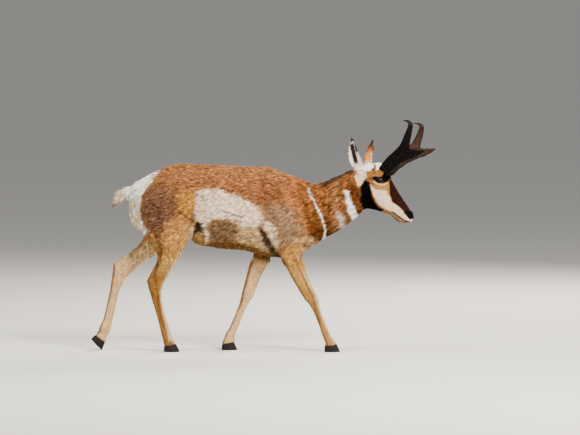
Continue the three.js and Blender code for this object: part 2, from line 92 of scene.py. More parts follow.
# Each light: name, place, size across, power and colour.
LIGHTS = [
    ("key_light", (2.6, -4.2, 4.0), 1.8, 860, (1.0, 0.94, 0.86)),
    ("rim_light", (2.2, 4.2, 3.6), 2.2, 560, (1.0, 0.93, 0.82)),
    ("top_light", (-1.2, -0.6, 4.8), 2.4, 240, (1.0, 0.97, 0.92)),
    ("fill_light", (-3.5, -4.0, 1.2), 3.0, 110, (0.95, 0.97, 1.0)),
]


def region_of(node):
    """The coat region that a solid of flesh belongs to."""
    part = node.split("_")[0]
    if part in REGIONS:
        return part
    if node.endswith("thigh"):
        return "thigh"
    return "shank" if node.endswith(("gaskin", "forearm")) else "foot"


def corners_of(mesh):
    """Vertex places of a mesh."""
    places = np.empty(len(mesh.vertices) * 3, np.float32)
    mesh.vertices.foreach_get("co", places)
    return places.reshape(-1, 3).astype(float)


def triangles_of(mesh):
    mesh.calc_loop_triangles()
    found = np.empty(len(mesh.loop_triangles) * 3, np.int32)
    mesh.loop_triangles.foreach_get("vertices", found)
    return found.reshape(-1, 3)


def faces_of(mesh):
    """Faces of an all-quad mesh."""
    found = np.empty(len(mesh.loops), np.int32)
    mesh.loops.foreach_get("vertex_index", found)
    return found.reshape(-1, 4)


def mesh_from(name, places, faces):
    """A mesh of equal-sided faces from arrays of places and corner numbers."""
    sides = faces.shape[1]
    mesh = bpy.data.meshes.new(name)
    mesh.vertices.add(len(places))
    mesh.vertices.foreach_set("co", places.astype(np.float32).ravel())
    mesh.loops.add(faces.size)
    mesh.loops.foreach_set("vertex_index", faces.astype(np.int32).ravel())
    mesh.polygons.add(len(faces))
    mesh.polygons.foreach_set("loop_start", np.arange(0, faces.size, sides, dtype=np.int32))
    mesh.update(calc_edges=True)
    mesh.polygons.foreach_set("use_smooth", np.ones(len(faces), bool))
    return mesh


def piece_from(name, mesh):
    piece = bpy.data.objects.new(name, mesh)
    bpy.context.scene.collection.objects.link(piece)
    return piece


def unit(vectors):
    return vectors / np.maximum(np.linalg.norm(vectors, axis=1, keepdims=True), 1e-9)


def normals_of(places, faces):
    """Area-weighted vertex normals."""
    corner = [places[numbers] for numbers in faces.T]
    if len(corner) == 3:
        across = np.cross(corner[1] - corner[0], corner[2] - corner[0])
    else:
        across = np.cross(corner[2] - corner[0], corner[3] - corner[1])
    total = np.zeros_like(places)
    for numbers in faces.T:
        for axis in range(3):
            total[:, axis] += np.bincount(numbers, across[:, axis], len(places))
    return unit(total)


def along_skin(ways, normals):
    """Ways laid flat on the skin."""
    return unit(ways - normals * (ways * normals).sum(axis=1)[:, None])


def edges_of(faces):
    ends = np.stack([faces, np.roll(faces, -1, axis=1)], axis=2).reshape(-1, 2)
    ends.sort(axis=1)
    return np.unique(ends, axis=0)


def relaxed(values, edges, weight, rounds):
    """Each value moves towards its neighbours' mean, by its weight, a number of rounds."""
    count = len(values)
    a, b = edges[:, 0], edges[:, 1]
    shares = np.bincount(a, minlength=count) + np.bincount(b, minlength=count)
    pull = (weight / np.maximum(shares, 1))[:, None]
    values = values.copy()
    for _ in range(rounds):
        total = np.empty_like(values)
        for k in range(values.shape[1]):
            total[:, k] = np.bincount(a, values[b, k], count) + np.bincount(b, values[a, k], count)
        values += pull * total - weight[:, None] * values
    return values


def largest_island(places, faces):
    """Leaves out the small closed shells that hang free inside."""
    label = np.arange(len(places))
    edges = edges_of(faces)
    while True:
        low = np.minimum(label[edges[:, 0]], label[edges[:, 1]])
        new = label.copy()
        np.minimum.at(new, edges[:, 0], low)
        np.minimum.at(new, edges[:, 1], low)
        new = new[new]
        new = new[new]
        if (new == label).all():
            break
        label = new
    main = np.bincount(label).argmax()
    keep = label == main
    number = np.cumsum(keep) - 1
    return places[keep], number[faces[keep[faces[:, 0]]]]


EYE_BOXES = {"right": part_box("eye_right"), "left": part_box("eye_left")}
EYES = {side: (Vector(low) + Vector(high)) / 2 for side, (low, high) in EYE_BOXES.items()}
EYE_RADIUS = (EYE_BOXES["right"][1].z - EYE_BOXES["right"][0].z) / 2
HEAD_AXES = np.array(
    [
        [math.cos(HEAD_TURN), -math.sin(HEAD_TURN), 0],
        [math.sin(HEAD_TURN), math.cos(HEAD_TURN), 0],
        [0, 0, 1],
    ]
)
between_eyes = (EYES["right"] + EYES["left"]) / 2
POLL = np.array([between_eyes.x, between_eyes.y, 0]) - EYE_FROM_POLL * HEAD_AXES[0]
barrel_low, barrel_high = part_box("trunk_barrel")
MIDDLE = (barrel_low.y + barrel_high.y) / 2


def in_head(places):
    """Places measured along, across and up the turned head."""
    return (places - POLL) @ HEAD_AXES.T


def out_of_head(places):
    return places @ HEAD_AXES + POLL


def side_chart(places, on_head):
    """Where a place shows in a side view, in millimetres, with both sides folded onto one.

    The head is folded on its own middle, as it is turned."""
    body = places - np.array([0, MIDDLE, 0])
    body[:, 1] = -np.abs(body[:, 1])
    head = in_head(places)
    head[:, 1] = -np.abs(head[:, 1])
    head = out_of_head(head) - np.array([0, MIDDLE, 0])
    folded = np.where(on_head[:, None], head, body)
    height = folded[:, 2] * math.cos(LOOK_DOWN) + folded[:, 1] * math.sin(LOOK_DOWN)
    return np.stack([folded[:, 0], height], axis=1) * 1000


def body_chart(places):
    return side_chart(places, np.zeros(len(places), bool))


def head_chart(places):
    return side_chart(places, np.ones(len(places), bool))


def ease(value):
    """Nought below nought, one above one, and a soft rise between."""
    value = np.clip(value, 0, 1)
    return value * value * (3 - 2 * value)


def ramp(value, start, width):
    """Nought at start and one a width further on. A width below nought runs downwards."""
    return ease((value - start) / width)


def bell(value, width):
    return np.exp(-((value / width) ** 2))


# Large numbers that turn a cell's whole numbers and a seed into one that looks random.
SCATTER = (73856093, 19349663, 83492791)
SEED_SCATTER = 2654435761
LAST_SCATTER = 1274126177
POSITIVE_BITS = 0x7FFFFFFF


def grain(places, size, seed):
    """Smooth random values from -1 to 1, alike over about size metres."""
    scaled = places / size + 57.0
    cell = np.floor(scaled).astype(np.int64)
    part = ease(scaled - cell)
    total = np.zeros(len(places))
    for steps in itertools.product((0, 1), repeat=3):
        x, y, z = (cell + np.array(steps)).T
        number = x * SCATTER[0] ^ y * SCATTER[1] ^ z * SCATTER[2]
        number = (number ^ (seed * SEED_SCATTER)) & POSITIVE_BITS
        number = ((number >> 13) ^ number) * LAST_SCATTER & POSITIVE_BITS
        value = (number & 0xFFFF) / 32767.5 - 1
        share = np.ones(len(places))
        for axis, step in enumerate(steps):
            share = share * (part[:, axis] if step else 1 - part[:, axis])
        total += value * share
    return total


def away_from_segment(flat, start, end):
    run = end - start
    along = np.clip(((flat - start) @ run) / (run @ run), 0, 1)
    return np.linalg.norm(flat - start - along[:, None] * run, axis=1)


def depth_inside(flat, outline):
    """Distance in from an outline, in millimetres, below nought outside it."""
    outline = np.array(outline, float)
    nearest = np.full(len(flat), np.inf)
    inside = np.zeros(len(flat), bool)
    for start, end in zip(outline, np.roll(outline, -1, axis=0)):
        nearest = np.minimum(nearest, away_from_segment(flat, start, end))
        run = end - start
        crosses = (start[1] > flat[:, 1]) != (end[1] > flat[:, 1])
        where = start[0] + (flat[:, 1] - start[1]) * run[0] / (run[1] or 1e-9)
        inside ^= crosses & (flat[:, 0] < where)
    return np.where(inside, nearest, -nearest)


def away_from_line(flat, line):
    """Distance from an open line, in millimetres."""
    line = np.array(line, float)
    nearest = np.full(len(flat), np.inf)
    for start, end in zip(line[:-1], line[1:]):
        nearest = np.minimum(nearest, away_from_segment(flat, start, end))
    return nearest


# Outlines and lines of the markings, and of painted shade and rim light, in the side view, in
# millimetres.
RUMP_PATCH = [
    (-687, 965), (-466, 895), (-495, 869), (-505, 854), (-529, 816), (-553, 787), (-577, 754),
    (-586, 715), (-591, 677), (-586, 638), (-572, 605), (-553, 576), (-577, 552), (-687, 533),
    (-783, 653), (-783, 869)
]
SIDE_PANEL = [
    (-320, 758), (-303, 770), (-255, 778), (-217, 773), (-169, 758), (-111, 734), (-63, 715),
    (-25, 686), (-6, 653), (-3, 619), (-20, 590), (-54, 595), (-82, 588), (-111, 595), (-140, 619),
    (-178, 629), (-217, 631), (-241, 629), (-265, 610), (-284, 586), (-294, 600), (-298, 619),
    (-313, 629), (-332, 638), (-330, 677), (-322, 715)
]
BELLY_PATCH = [
    (-260, 605), (-236, 626), (-198, 631), (-159, 624), (-130, 610), (-121, 581), (-130, 547),
    (-150, 533), (-198, 528), (-246, 528), (-265, 552)
]
BELLY_LINE = [
    (-279, 526), (-236, 530), (-198, 535), (-150, 530), (-111, 523), (-63, 514), (-6, 490),
    (52, 475), (90, 461), (90, 427), (-6, 427), (-92, 461), (-150, 475), (-231, 480), (-289, 485)
]
BELLY_CREAM = [
    (-130, 610), (-82, 595), (-54, 600), (-25, 595), (-6, 576), (23, 538), (57, 490), (66, 466),
    (-6, 475), (-63, 499), (-111, 518), (-130, 542), (-121, 581)
]
ARMPIT = [
    (-30, 600), (-6, 590), (14, 576), (28, 547), (42, 514), (62, 490), (86, 466), (105, 432),
    (114, 403), (95, 413), (66, 446), (42, 475), (14, 504), (-6, 533), (-15, 566)
]
ARMPIT_EDGE = [
    (-1, 624), (33, 619), (57, 595), (66, 562), (76, 523), (71, 494), (47, 518), (28, 562), (4, 600)
]
SHOULDER_RUST_AND_SHADE = [
    (-10, 816), (14, 811), (42, 782), (76, 744), (95, 706), (71, 686), (33, 691), (4, 706),
    (-20, 730), (-6, 773)
]
SHOULDER_GREY = [
    (-6, 682), (42, 701), (100, 696), (143, 677), (172, 634), (191, 581), (196, 533), (158, 518),
    (119, 504), (86, 490), (66, 504), (66, 552), (52, 600), (14, 638)
]
CHEST_CREAM = [(143, 538), (196, 552), (249, 547), (263, 528), (234, 504), (177, 504)]
ELBOW_FOLD_SHADE = [
    (76, 480), (105, 504), (134, 518), (162, 521), (191, 509), (234, 502), (191, 490), (158, 497),
    (129, 492), (100, 480)
]
HAUNCH = [
    (-582, 725), (-562, 758), (-543, 778), (-505, 782), (-457, 773), (-428, 754), (-409, 725),
    (-394, 686), (-394, 658), (-418, 638), (-447, 619), (-466, 590), (-481, 552), (-486, 514),
    (-495, 485), (-510, 514), (-524, 542), (-543, 581), (-567, 610), (-582, 648), (-586, 686)
]
FLANK_GOLD = [
    (-399, 739), (-380, 768), (-351, 773), (-327, 749), (-320, 710), (-327, 667), (-337, 634),
    (-356, 653), (-380, 662), (-399, 658), (-404, 696)
]
THROAT_BAR = [
    (386, 766), (407, 766), (417, 734), (431, 701), (446, 672), (458, 648), (436, 629), (417, 643),
    (402, 686), (393, 725)
]
NECK_BAR = [(359, 662), (381, 658), (393, 629), (400, 605), (386, 586), (364, 586), (354, 619)]
NECK_RUST = [
    (393, 782), (426, 811), (450, 830), (446, 802), (460, 782), (465, 749), (460, 715), (470, 686),
    (484, 667), (455, 629), (426, 610), (455, 653), (436, 701), (417, 744), (407, 773)
]
GROIN = [
    (-346, 533), (-337, 581), (-325, 614), (-308, 626), (-291, 614), (-284, 581), (-298, 566),
    (-318, 562)
]
SHEATH = [
    (-346, 538), (-327, 566), (-298, 571), (-270, 586), (-258, 552), (-260, 523), (-274, 494),
    (-313, 485), (-361, 504)
]
THIGH_TAN = [
    (-470, 630), (-410, 640), (-345, 612), (-336, 580), (-350, 530), (-370, 480), (-400, 440),
    (-480, 440), (-484, 520)
]
ELBOW_TAN = [
    (104, 494), (135, 512), (165, 514), (195, 500), (240, 500), (236, 440), (228, 380), (130, 380),
    (100, 440)
]
GROIN_TUFT = [
    (-289, 586), (-274, 595), (-260, 586), (-258, 552), (-262, 518), (-279, 518), (-274, 552)
]
NOSE_MASK = [
    (602, 816), (614, 830), (642, 792), (676, 754), (705, 715), (734, 686), (753, 658), (719, 634),
    (705, 634), (686, 648), (676, 667), (657, 686), (638, 701), (618, 715), (611, 734), (606, 763),
    (604, 792)
]
NOSE_PAD = [
    (676, 672), (700, 679), (724, 677), (753, 662), (719, 634), (700, 630), (686, 648), (671, 662)
]
LIP_TIP = [(690, 634), (712, 640), (735, 642), (740, 600), (700, 600)]
CHEEK_BLACK = [
    (465, 806), (489, 821), (508, 811), (513, 792), (518, 773), (522, 744), (537, 715), (551, 694),
    (575, 677), (561, 658), (518, 662), (484, 672), (470, 696), (462, 725), (470, 749), (465, 778)
]
EAR_PATCH = [
    (446, 864), (470, 871), (494, 864), (496, 835), (484, 816), (470, 799), (455, 785), (450, 806),
    (438, 830)
]
CHEEK_WHITE = [
    (513, 797), (527, 787), (542, 773), (566, 773), (590, 773), (599, 754), (611, 734), (614, 715),
    (633, 703), (657, 686), (671, 667), (686, 648), (700, 631), (710, 619), (686, 622), (652, 646),
    (623, 665), (599, 674), (575, 686), (551, 706), (537, 730), (527, 754), (518, 773)
]
UNDER_EYE = [
    (527, 806), (561, 802), (594, 816), (604, 802), (609, 763), (611, 734), (594, 746), (590, 770),
    (561, 773), (542, 780), (527, 792)
]
EYE_BAND = [
    (520, 830), (532, 838), (561, 835), (573, 847), (585, 857), (604, 857), (616, 845), (606, 823),
    (594, 811), (575, 804), (546, 806), (532, 814)
]
FOREHEAD = [
    (494, 862), (513, 862), (527, 878), (542, 866), (566, 871), (585, 859), (638, 878), (657, 840),
    (614, 816), (570, 835), (532, 833), (520, 823), (522, 797), (503, 816), (491, 830)
]
CROWN = [
    (436, 864), (436, 888), (470, 926), (494, 922), (522, 917), (551, 917), (580, 917), (594, 878),
    (585, 859), (566, 871), (542, 866), (527, 878), (513, 862), (494, 862), (470, 869)
]
CHIN = [(623, 662), (647, 646), (671, 629), (690, 619), (681, 600), (623, 610), (599, 648)]
JAW_EDGE = [
    (551, 701), (575, 686), (599, 674), (623, 665), (642, 648), (628, 638), (590, 658), (561, 662)
]
NECK_LINE = [
    (215, 778), (227, 744), (239, 725), (258, 686), (278, 648), (287, 619), (297, 581), (292, 547),
    (273, 518)
]
FLANK_CREASE = [(-404, 670), (-370, 650), (-337, 624), (-332, 610)]
SIDE_CREASE = [(-198, 674), (-159, 665), (-130, 653), (-97, 646)]
SIDE_CREASE_LOW = [(-135, 631), (-102, 617)]
HIND_SHADE = [(-514, 552), (-495, 518), (-488, 485), (-493, 446), (-510, 408)]
MOUTH = [(618, 668), (628, 662), (647, 647), (667, 633), (686, 623), (703, 619)]
FORELEG_RIM_LIGHT = [
    (191, 485), (201, 427), (220, 365), (244, 307), (268, 259), (275, 216), (292, 163), (316, 106),
    (340, 53)
]
FORELEG_TENDON_SHADE = [(150, 440), (185, 372), (210, 318), (238, 262), (250, 205), (272, 140)]
HIND_TENDON_SHADE = [(-505, 420), (-519, 375), (-512, 320), (-503, 270), (-500, 200), (-478, 120)]
SHEATH_EDGE_SHADOW = [(-292, 590), (-283, 555), (-286, 520), (-300, 496)]
UNDER_EYE_RIM = [(530, 812), (548, 800), (575, 797), (596, 806)]
FOREHEAD_STREAK = [(534, 893), (537, 878), (527, 866)]
THIGH_RIM_LIGHT = [
    (-339, 586), (-351, 538), (-366, 490), (-399, 449), (-423, 408), (-452, 360), (-471, 317),
    (-478, 283), (-478, 245), (-471, 187), (-457, 130), (-442, 62)
]

# Colours of the coat, some of them painted shade and rim light, as linear red, green, blue.
TAN = (0.265, 0.108, 0.038)
SIDE_SHADE_BROWN = (0.19, 0.072, 0.027)
SHOULDER_TAN = (0.30, 0.100, 0.022)
NECK_BROWN = (0.20, 0.072, 0.019)
NECK_FRONT = (0.31, 0.16, 0.065)
RUST = (0.078, 0.022, 0.0045)
LEG_TAN = (0.42, 0.23, 0.062)
LEG_PALE = (0.58, 0.37, 0.175)
LEG_BLOTCH = (0.34, 0.16, 0.050)
LEG_HIND_LOW = (0.22, 0.095, 0.020)
LEG_FORE_LOW = (0.33, 0.17, 0.050)
LEG_REAR_SHADE = (0.22, 0.09, 0.022)
LEG_FRONT = (0.62, 0.48, 0.30)
TAIL_BUFF = (0.48, 0.31, 0.17)
TAIL_SPOT = (0.30, 0.20, 0.13)
WHITE = (0.79, 0.585, 0.40)
SNOW = (0.97, 0.91, 0.78)
CREAM = (0.44, 0.28, 0.13)
RUMP_CREAM = (0.50, 0.32, 0.12)
PANEL_MOTTLE = (0.36, 0.26, 0.18)
PANEL_SMUDGE = (0.42, 0.31, 0.23)
BELLY_BROWN = (0.17, 0.10, 0.048)
DARK_BROWN = (0.12, 0.052, 0.012)
SHADE_GREY = (0.020, 0.014, 0.011)
GRIZZLE = (0.235, 0.145, 0.078)
HAUNCH_BROWN = (0.135, 0.064, 0.033)
GOLD = (0.46, 0.205, 0.036)
BLACK = (0.0015, 0.0012, 0.001)
MASK_BROWN = (0.013, 0.0034, 0.0018)
BRIDGE_BROWN = (0.030, 0.010, 0.006)
BROW_BROWN = (0.09, 0.032, 0.012)
MANE_BROWN = (0.05, 0.025, 0.012)
EAR_TAN = (0.48, 0.20, 0.05)
EAR_BROWN = (0.075, 0.022, 0.008)
EAR_WHITE = (0.74, 0.62, 0.52)
EAR_DARK = (0.012, 0.009, 0.008)
# Colours of horns, hooves and eyes.
HORN_BLACK = (0.0012, 0.0008, 0.0006)
HORN_BROWN = (0.036, 0.018, 0.011)
HORN_FLECK = (0.016, 0.007, 0.0035)
HORN_TIP = (0.03, 0.016, 0.010)
HOOF_BLACK = (0.010, 0.007, 0.0055)
HOOF_WORN = (0.045, 0.030, 0.020)
HOOF_BROWN = (0.026, 0.017, 0.012)
EYE_BROWN = (0.006, 0.003, 0.002)
EYE_IRIS = (0.014, 0.006, 0.003)
EYE_PUPIL = (0.002, 0.002, 0.003)
EYE_RIM = (0.008, 0.005, 0.004)

# Each marking, some of them painted shade: outline, colour, softness of its edge, wander of its
# edge, strength.
BODY_MARKINGS = [
    # Behind the shoulder: partly rufous hair, partly painted shade.
    (SHOULDER_RUST_AND_SHADE, (0.19, 0.066, 0.025), 34, 16, 0.8),
    (SHOULDER_GREY, GRIZZLE, 34, 22, 0.9),
    (SIDE_PANEL, WHITE, 13, 12, 1.0),
    (BELLY_PATCH, BELLY_BROWN, 16, 12, 0.95),
    (BELLY_CREAM, CREAM, 9, 8, 0.95),
    (BELLY_LINE, DARK_BROWN, 9, 6, 0.95),
    (ARMPIT_EDGE, WHITE, 9, 8, 0.75),
    # Painted shade in the armpit hollow.
    (ARMPIT, SHADE_GREY, 8, 7, 0.95),
    (CHEST_CREAM, CREAM, 14, 10, 0.8),
    # Painted shade along the fold at the elbow.
    (ELBOW_FOLD_SHADE, (0.18, 0.07, 0.024), 8, 6, 0.8),
    (THIGH_TAN, (0.41, 0.20, 0.055), 24, 14, 0.9),
    (ELBOW_TAN, (0.42, 0.21, 0.058), 9, 6, 0.95),
    (HAUNCH, HAUNCH_BROWN, 42, 26, 1.0),
    (FLANK_GOLD, GOLD, 32, 18, 0.75),
    (RUMP_PATCH, SNOW, 10, 11, 1.0),
    # Painted shadow in the groin hollow.
    (GROIN, (0.04, 0.022, 0.012), 6, 4, 1.0),
    (SHEATH, (0.34, 0.19, 0.06), 7, 5, 0.95),
    (GROIN_TUFT, WHITE, 7, 5, 0.8),
]
NECK_MARKINGS = [
    (NECK_RUST, RUST, 16, 12, 0.85),
    (NECK_BAR, (0.56, 0.44, 0.32), 14, 12, 0.75),
    (THROAT_BAR, SNOW, 6, 6, 1.0),
]
HEAD_MARKINGS = [
    (CROWN, SNOW, 5, 5, 1.0),
    (FOREHEAD, (0.29, 0.125, 0.032), 6, 8, 1.0),
    (CHEEK_WHITE, WHITE, 5, 4, 1.0),
    (JAW_EDGE, (0.32, 0.16, 0.07), 6, 4, 0.8),
    (CHIN, (0.22, 0.15, 0.07), 6, 4, 0.9),
    (UNDER_EYE, (0.36, 0.165, 0.042), 8, 8, 0.95),
    (CHEEK_BLACK, BLACK, 5, 4, 1.0),
    (EAR_PATCH, WHITE, 5, 5, 1.0),
    (LIP_TIP, WHITE, 4, 1, 1.0),
    (NOSE_MASK, MASK_BROWN, 3, 2.5, 1.0),
    (NOSE_PAD, BLACK, 3, 1, 1.0),
    (EYE_BAND, BLACK, 3, 2, 1.0),
]
# Thin marks, some of them painted shade and rim light: line, half width, colour, strength.
BODY_LINES = [
    # Painted shade in the flank fold and in the creases of the side.
    (FLANK_CREASE, 4, DARK_BROWN, 0.7),
    (SIDE_CREASE, 4, (0.16, 0.08, 0.045), 0.8),
    (SIDE_CREASE_LOW, 5, (0.2, 0.11, 0.07), 0.7),
    (HIND_SHADE, 10, DARK_BROWN, 0.6),
    # Pale strips down the legs' front edges: painted rim light.
    (THIGH_RIM_LIGHT, 12, (0.58, 0.43, 0.27), 0.65),
    (FORELEG_RIM_LIGHT, 9, (0.62, 0.50, 0.34), 0.6),
    (NECK_LINE, 4.5, SNOW, 1.0),
    # Painted shade in the grooves beside the legs' tendons.
    (FORELEG_TENDON_SHADE, 5, (0.17, 0.075, 0.02), 0.75),
    (HIND_TENDON_SHADE, 6, (0.13, 0.055, 0.014), 0.7),
    # Painted shadow along the sheath's edge.
    (SHEATH_EDGE_SHADOW, 5, (0.14, 0.07, 0.025), 0.7),
]
HEAD_LINES = [
    (MOUTH, 3.6, (0.006, 0.004, 0.003), 1.0),
    (FOREHEAD_STREAK, 6, (0.08, 0.035, 0.012), 0.95),
    (UNDER_EYE_RIM, 3.5, (0.60, 0.46, 0.30), 0.8),
]


def all_over(tint, count):
    return np.tile(np.array(tint), (count, 1))


def mixed(base, colour, share):
    return base + (np.array(colour) - base) * share[:, None]


def marked(colour, flat, markings, wander, share, ragged=0):
    """The colour with a set of markings over it, their edges wandering off the outlines."""
    for outline, tint, soft, stray, strength in markings:
        inside = depth_inside(flat, outline) + wander * stray + ragged
        colour = mixed(colour, tint, ease(inside / soft * 0.5 + 0.5) * strength * share)
    return colour


def lined(colour, flat, lines, wander, share):
    """The colour with a set of thin marks over it."""
    for line, width, tint, strength in lines:
        near = away_from_line(flat, line) + wander
        colour = mixed(colour, tint, ease(1.5 - near / width) * strength * share)
    return colour


def coat_colour(places, normals, shares):
    """The coat's colour at each place, from its region's base, the markings, and painted shade and
    rim light.
    """
    share = dict(zip(REGIONS, shares.T))
    head = in_head(places)
    flat = side_chart(places, (head[:, 0] > -0.03) & (share["trunk"] < 0.5))
    x, high = flat.T
    wander = grain(places, 0.022, 3) * 0.55 + grain(places, 0.008, 4) * 0.45
    patchy = grain(places, 0.045, 5) * 0.6 + grain(places, 0.016, 6) * 0.4
    outward = normals[:, 1] * np.sign(places[:, 1] - MIDDLE)

    colour = all_over(TAN, len(places))
    # A darker band along the upper side: painted shade under the lit top of the back.
    colour = mixed(colour, SIDE_SHADE_BROWN, ramp(high, 700, 60) * ramp(high, 845, -60) * 0.45)
    colour = mixed(colour, SHOULDER_TAN, ramp(x, 90, 60) * ramp(x, 300, -60) * 0.6)
    under = ramp(-normals[:, 2], 0.35, 0.4) * share["trunk"]
    colour = mixed(colour, CREAM, under * 0.9)
    neck = ease((share["neck"] + share["head"] + share["ear"]) * 1.5)
    colour = mixed(colour, NECK_BROWN, neck)
    colour = mixed(colour, RUST, neck * ramp(high, 710, -150) * 0.9)
    colour = mixed(colour, NECK_FRONT, neck * ramp(x, 315, 30) * ramp(x, 380, -30) * 0.4)

    limb = np.clip(share["thigh"] + share["shank"] + share["foot"], 0, 1)
    leg = mixed(all_over(LEG_TAN, len(places)), LEG_PALE, ease(-outward * 1.5 + 0.4))
    leg = mixed(leg, LEG_BLOTCH, ease(patchy * 2 - 0.3) * 0.5)
    hind_low = ramp(high, 410, -60) * ramp(x, -400, -20) * ease(outward * 2)
    leg = mixed(leg, LEG_HIND_LOW, hind_low * 0.85)
    fore_low = ramp(high, 330, -60) * ramp(x, -100, 20) * ease(outward * 2)
    leg = mixed(leg, LEG_FORE_LOW, fore_low * 0.75)
    colour = mixed(colour, leg, limb)
    # Darker on the legs' rear faces: painted shade.
    colour = mixed(colour, LEG_REAR_SHADE, limb * ramp(-normals[:, 0], 0.35, 0.4) * 0.8)
    # Paler on the legs' front faces: painted rim light.
    ahead = ramp(normals[:, 0], 0.45, 0.35)
    colour = mixed(colour, LEG_FRONT, limb * ahead * ease(outward * 2 + 0.8) * 0.8)
    colour = mixed(colour, TAIL_BUFF, share["tail"])
    spot = ease(1.6 - np.hypot(x + 664, high - 755) / 14) * share["tail"]
    colour = mixed(colour, TAIL_SPOT, spot * 0.8)

    not_head = 1 - share["head"] - share["ear"]
    tail_free = 1 - 0.85 * share["tail"]
    colour = marked(colour, flat, BODY_MARKINGS, wander, not_head * tail_free)
    in_rump, in_panel = depth_inside(flat, RUMP_PATCH), depth_inside(flat, SIDE_PANEL)
    cream = ramp(high, 750, -60) * ramp(x, -552, -25) * ease(patchy + 0.7)
    cream = np.maximum(cream, 0.6 * ease(1.2 - in_rump / 24) * ramp(x, -500, -30))
    cream = cream * ease(in_rump / 6)
    colour = mixed(colour, RUMP_CREAM, cream * share["trunk"] * 0.85)
    mottle = ease(grain(places, 0.009, 10) * 2.2 - 0.7) * ease(in_panel / 6)
    colour = mixed(colour, PANEL_MOTTLE, mottle * 0.55)
    smudge = ramp(x, -262, -50) * ease(in_panel / 8) * ease(patchy * 1.5 + 0.7)
    colour = mixed(colour, PANEL_SMUDGE, smudge * 0.6)
    colour = lined(colour, flat, BODY_LINES, wander * 2, not_head)
    colour = marked(colour, flat, NECK_MARKINGS, wander, neck)
    mane = ramp(normals[:, 2], 0.72, 0.15) * ramp(x, 262, 40) * ramp(x, 447, -12)
    colour = mixed(colour, MANE_BROWN, mane * share["neck"] * 0.85)
    tone = 1 + (0.10 + 0.06 * neck) * patchy
    colour = colour * tone[:, None]

    ragged = grain(places, 0.0045, 7) * (1 - ramp(x, 600, 40) * 0.6)
    near_head = ramp(head[:, 0], -0.080, 0.010) * (1 - share["ear"]) * (1 - share["trunk"])
    colour = marked(colour, flat, HEAD_MARKINGS, wander * 0.7, near_head, ragged * 2.5)
    bridge = ramp(head[:, 0] * 1000, 120, 60) * ease(depth_inside(flat, NOSE_MASK) / 10)
    bridge = bridge * ease(-depth_inside(flat, NOSE_PAD) / 8)
    colour = mixed(colour, BRIDGE_BROWN, bridge * near_head * 0.6)
    brow = ease(depth_inside(flat, FOREHEAD) / 6) * ease(-depth_inside(flat, EYE_BAND) / 4)
    brow = brow * ease(grain(places, 0.008, 9) * 2 - 0.2)
    colour = mixed(colour, BROW_BROWN, brow * near_head * 0.8)
    colour = lined(colour, flat, HEAD_LINES, 0, near_head)
    return ear_colour(colour, places, normals, share["ear"])


# Each ear's tip in the head's own axes, in metres.
EAR_TIPS = {"right": (-0.022, -0.148, 1.034), "left": (-0.012, 0.148, 1.016)}


def ear_colour(colour, places, normals, share):
    """White inside with a dark middle, tan behind, with a black tip."""
    head = in_head(places)
    for name, side in SIDES.items():
        root = np.array([-0.005, side * 0.054, 0.868])
        axis = np.array(EAR_TIPS[name]) - root
        length = np.linalg.norm(axis)
        axis /= length
        opening = np.array([0.5, side * 0.8, -0.3])
        opening -= axis * (opening @ axis)
        opening /= np.linalg.norm(opening)
        forward = np.cross(axis, opening) * side
        along = (head - root) @ axis / length
        wide = (root - head) @ forward * 1000
        facing = (normals @ HEAD_AXES.T) @ opening
        here = share * (head[:, 1] * side > 0) * ease(along * 6 - 0.4)
        back = mixed(all_over(EAR_TAN, len(places)), EAR_BROWN, ramp(along, 0.36, 0.4))
        back = mixed(back, WHITE, ramp(np.abs(wide), 24, 5) * ramp(along, 0.5, -0.2))
        stripe = ease(1.7 - np.abs(wide + 9) / 9)
        stripe = stripe * ramp(along, 0.14, 0.1) * ramp(along, 0.88, -0.1)
        inner = mixed(all_over(EAR_WHITE, len(places)), EAR_DARK, stripe)
        inner = mixed(inner, EAR_DARK, ramp(wide, 1, 4) * ramp(along, 0.48, 0.1))
        ear = mixed(back, inner, ease(facing * 5 - 0.2))
        ear = mixed(ear, BLACK, ramp(along, 0.84, 0.06))
        colour = mixed(colour, ear, here)
    return colour


def merged_copy(node):
    """A CAD solid's corners joined up, as places and triangles."""
    mesh = nodes[node].data
    places = corners_of(mesh)
    triangles = triangles_of(mesh)
    keys, inverse = np.unique(np.round(places * 1e5).astype(np.int64), axis=0, return_inverse=True)
    joined = np.zeros((len(keys), 3))
    joined[inverse.ravel()] = places
    triangles = inverse.ravel()[triangles]
    distinct = (
        (triangles[:, 0] != triangles[:, 1])
        & (triangles[:, 1] != triangles[:, 2])
        & (triangles[:, 2] != triangles[:, 0])
    )
    return joined, triangles[distinct]


def joined_solids(names, swell):
    """Several solids in one mesh, each a little swollen so that the gaps between them close."""
    all_places, all_faces, start = [], [], 0
    for name in names:
        places, faces = merged_copy(name)
        all_places.append(places + normals_of(places, faces) * swell)
        all_faces.append(faces + start)
        start += len(places)
    return np.concatenate(all_places), np.concatenate(all_faces)


def ball(centre, radii, rings=12, sides=16):
    """A closed ball of triangles, used to fill a hollow under the skin."""
    places = [(0, 0, 1)]
    for ring in range(1, rings):
        tilt = math.pi * ring / rings
        for side in range(sides):
            turn = 2 * math.pi * side / sides
            across, up = math.sin(tilt), math.cos(tilt)
            places.append((across * math.cos(turn), across * math.sin(turn), up))
    places.append((0, 0, -1))
    last = len(places) - 1
    faces = []
    for side in range(sides):
        following = (side + 1) % sides
        faces.append((0, 1 + side, 1 + following))
        faces.append((last, last - sides + following, last - sides + side))
        for ring in range(rings - 2):
            a, b = 1 + ring * sides + side, 1 + ring * sides + following
            faces += [(a, a + sides, b), (b, a + sides, b + sides)]
    return np.array(places) * radii + np.array(centre), np.array(faces)


